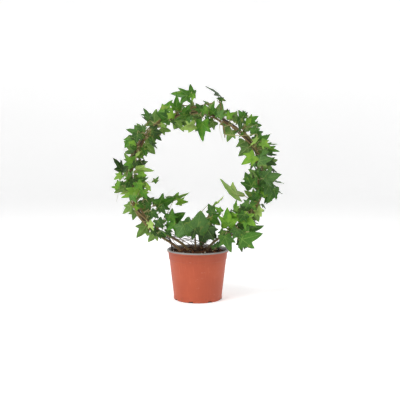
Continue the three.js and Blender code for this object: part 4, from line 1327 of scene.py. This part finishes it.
@dataclass
class Pot:
    """Thin plastic nursery pot with a band, a rolled lip and drain notches round its foot."""

    palette: Palette
    sizes: PotSizes
    steps: int = 120
    lip_band: float = 2.7
    lip_step: float = 0.5
    round_radius: float = 0.7
    notch_turn: float = math.radians(6.5)
    notch_depth: float = 2.4

    def profile(self) -> list[tuple[float, float]]:
        """Section of the wall from the middle of the base up, over the lip and down inside."""
        s = self.sizes
        lip_foot = s.height - s.lip_height
        top = s.band_low_radius + s.band_flare
        inner = s.rim_radius - s.lip_height * 0.45
        outside = [
            (0.0, 0.0), (s.base_radius - 1.0, 0.0), (s.base_radius + s.foot_step, 1.0),
            (s.base_radius + s.foot_step, s.foot_height),
            (s.base_radius + s.foot_step * 0.6, s.foot_height + s.foot_step),
            (s.waist_radius, s.band_foot - s.band_step), (s.band_low_radius, s.band_foot),
            (top, lip_foot), (s.rim_radius - 1.2, lip_foot + 0.2),
            (s.rim_radius - self.lip_step, lip_foot + 1.2),
            (s.rim_radius - self.lip_step, s.height - self.lip_band - 0.3),
            (s.rim_radius, s.height - self.lip_band), (s.rim_radius, s.height - 1.3),
            (s.rim_radius - 1.2, s.height),
        ]
        inside = [
            (inner, s.height), (s.wall_inside(lip_foot) + 0.4, s.height - 1.6),
            (s.wall_inside(lip_foot), lip_foot), (s.wall_inside(s.band_foot + 0.1), s.band_foot),
            (s.wall_inside(s.band_foot - s.band_step), s.band_foot - s.band_step),
            (s.wall_inside(s.floor), s.floor), (0.0, s.floor),
        ]
        return rounded_profile([*outside, *inside], self.round_radius)

    def notches(self) -> bpy.types.Object:
        """Blocks that cut the drain notches."""
        s = self.sizes
        bm = bmesh.new()
        for i in range(s.drains):
            turn = Matrix.Rotation(2 * math.pi * (i + 0.5) / s.drains + self.notch_turn, 4, "Z")
            place = Matrix.Translation((s.base_radius * MM, 0.0, 0.0))
            size = Matrix.Diagonal((2 * self.notch_depth * MM, s.drain_width * MM,
                                    2 * s.drain_height * MM, 1.0))
            bmesh.ops.create_cube(bm, size=1.0, matrix=turn @ place @ size)
        mesh = bpy.data.meshes.new("notches")
        bm.to_mesh(mesh)
        bm.free()
        cutter = bpy.data.objects.new("notches", mesh)
        bpy.context.scene.collection.objects.link(cutter)
        return cutter

    def build(self) -> None:
        """Turns the wall, cuts the notches, parts the two colours of plastic and paints the
        notches dark as painted shade.
        """
        bm = turned(self.profile(), self.steps)
        mesh = bpy.data.meshes.new("pot")
        bm.to_mesh(mesh)
        bm.free()
        cutter = self.notches()
        mesh = evaluated(mesh, ("BOOLEAN", {"object": cutter, "operation": "DIFFERENCE",
                                            "solver": "EXACT"}))
        block = cutter.data
        bpy.data.objects.remove(cutter)
        bpy.data.meshes.remove(block)
        lip_from = (self.sizes.height - self.lip_band - 0.2) * MM
        for face in mesh.polygons:
            middle = face.center
            outwards = middle.xy.dot(face.normal.xy) > 0.0
            facing = face.normal.xy.dot(middle.xy.normalized())
            deep = middle.xy.length < (self.sizes.base_radius - 1.3) * MM
            low = 1e-5 < middle.z < self.sizes.drain_height * MM + 1e-5
            # painted shade: faces inside the drain notches take the dark soil finish
            if low and (deep or facing < 0.5):
                face.material_index = 2
            elif middle.z > lip_from or (middle.z > 0.004 and not outwards):
                face.material_index = 1
        new_piece("plant_pot", mesh, self.palette, (Finish.POT, Finish.LIP, Finish.SOIL),
                  "pot", sharp=38.0)


@dataclass
class Soil:
    """Root ball with a crumbly top: crumbs, bark chips, dry roots and perlite."""

    palette: Palette
    sizes: PotSizes
    steps: int = 132
    ring_gap: float = 2.0
    relief: float = 1.7
    crumbs: int = 420
    chips: int = 60
    grains: int = 34
    roots: int = 22

    def height(self, x: float, y: float) -> float:
        """Height of the rough surface, in millimetres."""
        place = Vector((x, y, 0.0))
        rough = noise.noise(place * 0.11) * self.relief + noise.noise(place * 0.34) * 0.8
        return self.sizes.soil_top(math.hypot(x, y)) + rough

    def ground(self) -> bpy.types.Mesh:
        """The root ball itself."""
        s = self.sizes
        levels = (s.floor + s.clearance, s.band_foot - s.band_step - s.clearance,
                  s.band_foot + s.band_step, s.soil_edge - 1.0)
        profile = [(0.0, levels[0])]
        profile += [(s.wall_inside(z) - s.clearance, z) for z in levels]
        edge = s.wall_inside(s.soil_edge) - s.clearance
        rings = int(edge / self.ring_gap)
        profile += [(edge * (1 - i / rings), s.soil_edge) for i in range(rings + 1)]
        bm = turned(profile, self.steps)
        for vert in bm.verts:
            if vert.co.z > (s.soil_edge - 0.5) * MM:
                vert.co.z = self.height(vert.co.x / MM, vert.co.y / MM) * MM
        mesh = bpy.data.meshes.new("ground")
        bm.to_mesh(mesh)
        bm.free()
        return mesh

    def spot(self, rng: random.Random, margin: float) -> tuple[float, float]:
        """A random place on the surface, evenly spread."""
        reach = (self.sizes.wall_inside(self.sizes.soil_edge) - margin) * rng.random() ** 0.5
        turn = rng.random() * 2 * math.pi
        return reach * math.cos(turn), reach * math.sin(turn)

    def lumps(self, places: Iterable[tuple[float, float]], sizes: tuple[float, float],
              stretch: Vector, rng: random.Random) -> bpy.types.Mesh:
        """Small uneven lumps lying on the soil.

        Args:
            places: Where they lie, in millimetres.
            sizes: Smallest and largest radius.
            stretch: How they are drawn out along their own axes.
            rng: Source of chance.

        Returns:
            All of them as one mesh.
        """
        bm = bmesh.new()
        for x, y in places:
            radius = rng.uniform(*sizes)
            lie = Matrix.Rotation(rng.uniform(-0.5, 0.5), 4, "X") \
                @ Matrix.Rotation(rng.random() * 2 * math.pi, 4, "Z")
            place = Matrix.Translation(
                Vector((x, y, self.height(x, y) + radius * stretch.z * 0.35)) * MM)
            made = bmesh.ops.create_icosphere(
                bm, subdivisions=1, radius=radius * MM,
                matrix=place @ lie @ Matrix.Diagonal((*stretch, 1.0)))
            middle = place.translation
            for vert in made["verts"]:
                vert.co = middle + (vert.co - middle) * rng.uniform(0.72, 1.25)
        mesh = bpy.data.meshes.new("lumps")
        bm.to_mesh(mesh)
        bm.free()
        return mesh

    def strips(self, rng: random.Random) -> bpy.types.Mesh:
        """Dry roots that lie on and in the surface."""
        strands = Strands(rounding=1)
        starts = [(-33.0, -34.0, -0.35)]
        starts += [(*self.spot(rng, 12.0), rng.random() * 2 * math.pi)
                   for _ in range(self.roots - 1)]
        for x, y, turn in starts:
            length, bend = rng.uniform(9.0, 20.0), rng.uniform(-0.12, 0.12)
            points = []
            for i in range(9):
                points.append(Vector((x, y, self.height(x, y) + 0.5 - 0.35 * abs(i - 4))) * MM)
                x += math.cos(turn) * length / 8
                y += math.sin(turn) * length / 8
                turn += bend
            thick = rng.uniform(0.35, 0.75) * MM
            strands.add(points, [thick * (1.0 - 0.09 * abs(i - 4)) for i in range(9)])
        return strands.mesh("strips")

    def build(self) -> None:
        """Lays the root ball and everything on it."""
        rng = random.Random("soil")
        even = Vector((1.0, 1.0, 0.8))
        crumbs = self.lumps([self.spot(rng, 4.0) for _ in range(self.crumbs)], (0.6, 2.1),
                            even, rng)
        new_piece("root_ball", joined([(self.ground(), 0), (crumbs, 0)]), self.palette,
                  (Finish.SOIL,), "soil", sharp=80.0)
        chips = self.lumps([self.spot(rng, 7.0) for _ in range(self.chips)], (1.3, 2.6),
                           Vector((2.0, 0.8, 0.45)), rng)
        front = [(rng.uniform(-3.0, 13.0), rng.uniform(-50.5, -47.0)) for _ in range(9)]
        grains = self.lumps(front + [self.spot(rng, 5.0) for _ in range(self.grains - 9)],
                            (0.7, 1.5), even, rng)
        new_piece("soil_litter", joined([(chips, 0), (self.strips(rng), 1), (grains, 2)]),
                  self.palette, (Finish.CHIP, Finish.ROOT, Finish.PERLITE),
                  sharp=60.0)


@dataclass
class Hoop:
    """Round wire hoop whose two legs stand in the soil."""

    palette: Palette
    routes: Routes
    steps: int = 260

    def build(self) -> None:
        """Draws the wire along its route."""
        points = [point * MM for point in self.routes.wire(self.steps)]
        strands = Strands(rounding=4)
        strands.add(points, [self.routes.wire_radius * MM] * len(points))
        new_piece("wire_hoop", strands.mesh("wire"), self.palette, (Finish.WIRE,),
                  "hoop", sharp=60.0)


@dataclass
class Shoot:
    """One stem with its aerial roots, and the leaves that belong to it."""

    palette: Palette
    vine: Vine
    foliage: Foliage
    leaves: list[LeafPlace]
    cuts: int = 5
    root_gap: float = 9.0
    stem_piece: float = 15.0     # length of one straight stretch of the frame's stem
    woody_share: float = 0.8     # the rest of the stem, towards its tip, bears no roots
    bare_points: int = 8         # points at the foot that bear no roots
    knot_reach: float = 0.006    # how far a stalk's foot swells the stem

    def stem(self) -> tuple[list[Vector], list[float]]:
        """Smooth line of the stem and its radii, swollen where stalks leave it."""
        points = [point * MM for point in smoothed(self.vine.points, self.cuts)]
        last, old = len(points) - 1, len(self.vine.radii) - 1
        radii = []
        for i, point in enumerate(points):
            base = self.vine.radii[min(round(i / last * old), old)] * MM
            knot = max((1.0 - (leaf.stalk[2] - point).length / self.knot_reach
                        for leaf in self.leaves), default=0.0)
            wobble = noise.noise(point * 140.0) * 0.1
            radii.append(base * (1.12 + wobble + 0.28 * max(knot, 0.0)))
        radii[-1] *= 0.45
        return points, radii

    def aerial_roots(self, points: list[Vector], rng: random.Random) -> bpy.types.Mesh:
        """Short brown roots in tufts along the older wood."""
        strands = Strands()
        woody = points[self.bare_points:int(len(points) * self.woody_share)]
        for _ in range(int(len(self.vine.points) * self.stem_piece / self.root_gap)):
            base = rng.choice(woody) if woody else points[0]
            way = Vector([rng.uniform(-1, 1) for _ in range(3)]).normalized()
            for _ in range(2):
                aim = (way + Vector([rng.uniform(-0.6, 0.6) for _ in range(3)])).normalized()
                reach = rng.uniform(0.0022, 0.0052)
                drop = Vector((0.0, 0.0, -0.25 * reach))
                strands.add([base, base + aim * reach * 0.6, base + aim * reach + drop],
                            [0.00026, 0.0002, 0.00009])
        return strands.mesh("aerial_roots")

    def build(self) -> None:
        """Makes the stem, its roots and its leaves."""
        name = self.vine.name
        rng = random.Random(name)
        points, radii = self.stem()
        strands = Strands(rounding=2)
        strands.add(points, radii)
        parts = [(strands.mesh("stem"), 0), (self.aerial_roots(points, rng), 1)]
        new_piece(f"{name}_stem", joined(parts), self.palette, (Finish.STEM, Finish.ROOTLET),
                  name, sharp=60.0)
        if self.leaves:
            self.foliage.piece(f"{name}_leaves", self.leaves, "ivy_shoot")


@dataclass(frozen=True)
class Wisp:
    """A thin bare shoot or dried stalk: clock angle, out and depth at each point, in mm."""

    points: tuple[tuple[float, float, float], ...]
    thick: float = 0.45


WISPS = (
    Wisp(((-67, -6, -6), (-70, -14, -14), (-75, -24, -16))),
    Wisp(((-66, 8, -8), (-67, 18, -12), (-68, 29, -8)), 0.35),
    Wisp(((-103, -10, -8), (-104, -30, -14), (-112, -44, -12))),
    Wisp(((-96, -12, -10), (-92, -38, -14), (-90, -52, -12), (-93, -66, -6)), 0.4),
    Wisp(((-122, -20, -12), (-124, -48, -16), (-119, -62, -12), (-113, -82, -8)), 0.5),
    Wisp(((-96, 20, 0), (-103, 28, 2), (-107, 34, 4)), 0.35),
    Wisp(((60, 12, -8), (61, 26, -8), (63, 36, -4)), 0.35),
    Wisp(((94, 18, 0), (93, 32, 2), (95, 42, 4)), 0.35),
    Wisp(((26, -4, -10), (24.5, -15, -14), (31, -30, -14), (38.5, -39, -12)), 0.55),
    Wisp(((-155, 1, -8), (-153, 8, -10), (-154.3, 10, -9)), 0.4),
)


@dataclass
class Wisps:
    """Thin bare shoots that stray from the ring."""

    palette: Palette
    routes: Routes

    def build(self) -> None:
        """Draws them all as one piece."""
        strands = Strands(rounding=1)
        for wisp in WISPS:
            knots = [self.routes.beside(math.radians(clock), out, depth) * MM
                     for clock, out, depth in wisp.points]
            line = smoothed(knots, 6)
            last = len(line) - 1
            strands.add(line, [wisp.thick * MM * (1.0 - 0.75 * i / last)
                               for i in range(last + 1)])
        new_piece("bare_shoots", strands.mesh("wisps"), self.palette, (Finish.STALK,),
                  sharp=60.0)


@dataclass(frozen=True)
class Sprout:
    """A small leaf low in the crown that the frame leaves out.

    Attributes:
        junction: Where blade and stalk meet, in millimetres.
        aim: Direction the tip points in, across and up.
        foot: Where its stalk comes from, in millimetres.
    """

    junction: tuple[float, float, float]
    aim: tuple[float, float]
    length: float
    foot: tuple[float, float, float]
    breadth: float = 0.95

    def leaf(self, rng: random.Random) -> LeafPlace:
        """The leaf in its place."""
        along = Vector((self.aim[0], rng.uniform(-0.35, -0.1), self.aim[1])).normalized()
        toward = Vector((rng.uniform(-0.3, 0.3), -1.0, 0.35))
        across = along.cross(toward).normalized()
        up = across.cross(along)
        start = Vector(self.junction) * MM
        bend = start - along * 0.004 - up * 0.002
        return LeafPlace(
            junction=start, across=across, along=along, up=up, length=self.length * MM,
            breadth=self.breadth, lobing=rng.uniform(0.8, 1.1), basal=rng.uniform(0.15, 0.22),
            curl=rng.uniform(0.05, 0.15), fold=rng.uniform(0.03, 0.1),
            stalk=(start - up * 0.0003, bend, Vector(self.foot) * MM))


SPROUTS = (
    Sprout((-27, -42, 148), (-0.55, -0.84), 27, (-14, -16, 128)),
    Sprout((-5, -46, 142), (-0.25, -0.97), 23, (-7, -14, 126)),
    Sprout((-44, -34, 150), (-0.8, -0.6), 20, (-38, -6, 132)),
    Sprout((35, -37, 108), (0.25, 0.97), 12, (27, -34, 99)),
    Sprout((31, -38, 106), (-0.85, 0.5), 9, (27, -34, 99)),
    Sprout((-76, -14, 130), (0.93, -0.37), 21, (-82, -2, 138), 0.7),
    Sprout((-58, -18, 137), (0.5, -0.87), 17, (-64, -3, 140), 0.8),
    Sprout((48, -30, 136), (-0.5, -0.87), 18, (56, -10, 130), 0.8),
)


# clock angles in degrees between which each thin shoot is twined along the wire
TWINED_SPANS = (
    (-146, -70), (-140, -30), (-100, -5), (-80, 20), (-55, 40),
    (-30, 62), (10, 85), (30, 110), (60, 140), (84, 146),
)


@dataclass
class Undergrowth:
    """Sprouts and bare twigs round the crown, and the thin shoots twined into the bundle."""

    palette: Palette
    routes: Routes
    foliage: Foliage
    twig_starts: int = 15
    twine_radius: float = 3.1
    twine_step: float = 1.6      # degrees of the ring between two points of a twined shoot
    soil_height: float = 94.0    # where the twigs start, in millimetres

    def twine(self, strands: Strands, start: float, end: float, rng: random.Random) -> None:
        """Adds one thin shoot wound along the wire between two clock angles, in degrees."""
        steps = int(abs(end - start) / self.twine_step)
        turn, pitch = rng.random() * 6.28, rng.uniform(5.0, 8.0) * rng.choice((-1, 1))
        thick = rng.uniform(0.8, 1.25) * MM
        line, radii = [], []
        for i in range(steps + 1):
            share = i / steps
            clock = math.radians(start + (end - start) * share)
            reach = self.twine_radius + 1.3 * noise.noise(Vector((clock * 4.0, turn, 0.0)))
            phase = turn + pitch * (clock - math.radians(start))
            line.append(self.routes.beside(clock, reach * math.cos(phase),
                                           reach * math.sin(phase)) * MM)
            radii.append(thick * (0.35 + 0.65 * min(1.0, 6 * share, 6 * (1 - share))))
        strands.add(line, radii)

    def twigs(self, rng: random.Random) -> bpy.types.Mesh:
        """Thin brown twigs that cross over the soil from the crown to the wire."""
        strands = Strands(rounding=1)
        for _ in range(self.twig_starts):
            side = rng.choice((-1, -1, 1))
            start = Vector((rng.uniform(-34, 34), rng.uniform(-26, 14), self.soil_height))
            over = Vector((start.x + side * rng.uniform(4, 20), start.y - 4,
                           rng.uniform(106, 116)))
            end = self.routes.beside(math.radians(side * rng.uniform(146, 160)),
                                     rng.uniform(-14, 2), rng.uniform(-8, 6))
            line = smoothed([start * MM, over * MM, end * MM], 6)
            last = len(line) - 1
            thick = rng.uniform(0.45, 0.85) * MM
            strands.add(line, [thick * (1.0 - 0.6 * i / last) for i in range(last + 1)])
        return strands.mesh("twigs")

    def build(self) -> None:
        """Makes the sprouts, the twigs and the twined shoots."""
        rng = random.Random("undergrowth")
        self.foliage.piece("crown_sprouts", [sprout.leaf(rng) for sprout in SPROUTS],
                           "ivy_leaf")
        new_piece("crown_twigs", self.twigs(rng), self.palette, (Finish.ROOTLET,),
                  sharp=60.0)
        strands = Strands(rounding=1)
        for start, end in TWINED_SPANS:
            self.twine(strands, start, end, rng)
        new_piece("twined_shoots", strands.mesh("twined"), self.palette, (Finish.STEM,),
                  sharp=60.0)


@dataclass(frozen=True)
class Lamp:
    """A square soft light: its place and side in metres and its power in watts."""

    name: str
    place: tuple[float, float, float]
    side: float
    power: float


LAMPS = (
    Lamp("key_light", (-0.9, -0.9, 1.4), 0.7, 19.0),
    Lamp("fill_light", (1.3, -1.3, 0.6), 1.2, 2.0),
    Lamp("top_light", (0.2, 0.5, 1.6), 1.0, 7.0),
)


@dataclass
class Studio:
    """Round bowl of pale paper, soft lights and the camera."""

    palette: Palette
    eye: tuple[float, float, float] = (0.0042, -1.4, 0.321)
    aim_height: float = 0.193
    lens: float = 65.4
    sensor: float = 36.0
    floor_radius: float = 2.6
    turn_radius: float = 0.8
    wall_height: float = 3.4
    turn_cuts: int = 12
    sides: int = 64
    lit_height: float = 0.2
    air_strength: float = 0.06
    nearest: float = 0.01
    farthest: float = 50.0

    def sweep(self) -> None:
        """Round floor that curves up into a wall on every side."""
        bm = bmesh.new()
        line = [(0.0, 0.0), (0.5, 0.0), (self.floor_radius, 0.0)]
        line += [(self.floor_radius + self.turn_radius * math.sin(a),
                  self.turn_radius * (1 - math.cos(a)))
                 for a in (math.pi / 2 * i / self.turn_cuts
                           for i in range(1, self.turn_cuts + 1))]
        line.append((self.floor_radius + self.turn_radius, self.wall_height))
        verts = [bm.verts.new((x, 0.0, z)) for x, z in line]
        edges = [bm.edges.new(pair) for pair in zip(verts, verts[1:])]
        bmesh.ops.spin(bm, geom=[*verts, *edges], cent=(0, 0, 0), axis=(0, 0, 1),
                       angle=2 * math.pi, steps=self.sides, use_merge=True)
        clean(bm)
        bm.faces.ensure_lookup_table()
        if min(bm.faces, key=lambda face: face.calc_center_median().length).normal.z < 0:
            bmesh.ops.reverse_faces(bm, faces=bm.faces)
        mesh = bpy.data.meshes.new("paper_sweep")
        bm.to_mesh(mesh)
        bm.free()
        mesh.materials.append(self.palette.get(Finish.PAPER))
        mesh.shade_smooth()
        paper = bpy.data.objects.new("paper_sweep", mesh)
        bpy.context.scene.collection.objects.link(paper)

    def light(self, lamp: Lamp) -> None:
        """Adds a square soft light aimed at the plant.

        Args:
            lamp: The light's name, place, side and power.
        """
        glow = bpy.data.lights.new(lamp.name, "AREA")
        glow.size, glow.energy = lamp.side, lamp.power
        holder = bpy.data.objects.new(lamp.name, glow)
        holder.location = lamp.place
        aim = Vector((0.0, 0.0, self.lit_height)) - Vector(lamp.place)
        holder.rotation_euler = aim.to_track_quat("-Z", "Y").to_euler()
        bpy.context.scene.collection.objects.link(holder)

    def build(self) -> None:
        """Sets up paper, lights, surroundings and camera."""
        self.sweep()
        for lamp in LAMPS:
            self.light(lamp)
        scene = bpy.context.scene
        world = bpy.data.worlds.new("studio_air")
        world.use_nodes = True
        air = world.node_tree.nodes["Background"]
        air.inputs["Color"].default_value = (1.0, 1.0, 1.0, 1.0)
        air.inputs["Strength"].default_value = self.air_strength
        scene.world = world
        scene.view_settings.view_transform = "Standard"
        lens = bpy.data.cameras.new("camera")
        lens.lens, lens.sensor_width = self.lens, self.sensor
        lens.clip_start, lens.clip_end = self.nearest, self.farthest
        camera = bpy.data.objects.new("camera", lens)
        drop = math.atan2(self.eye[2] - self.aim_height, -self.eye[1])
        camera.location, camera.rotation_euler = self.eye, (math.pi / 2 - drop, 0.0, 0.0)
        scene.collection.objects.link(camera)
        scene.camera = camera


def main() -> None:
    """Builds the studio, the pot, the hoop and the plant."""
    logging.basicConfig(level=logging.INFO, format="%(message)s")
    palette = Palette()
    sizes = PotSizes()
    routes = Routes(sizes)
    reader = LeafReader(BladeShape())
    foliage = Foliage(palette, reader.shape)
    Studio(palette).build()
    Pot(palette, sizes).build()
    Soil(palette, sizes).build()
    Hoop(palette, routes).build()
    for vine in routes.vines():
        Shoot(palette, vine, foliage, reader.read(vine.name)).build()
    for node in sorted(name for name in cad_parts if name.startswith("leaf_")):
        foliage.piece(f"ivy_{node}", reader.read(node), "ivy_leaf", node)
    Undergrowth(palette, routes, foliage).build()
    Wisps(palette, routes).build()
    bpy.data.meshes.remove(foliage.pattern)


if __name__ == "__main__":
    main()
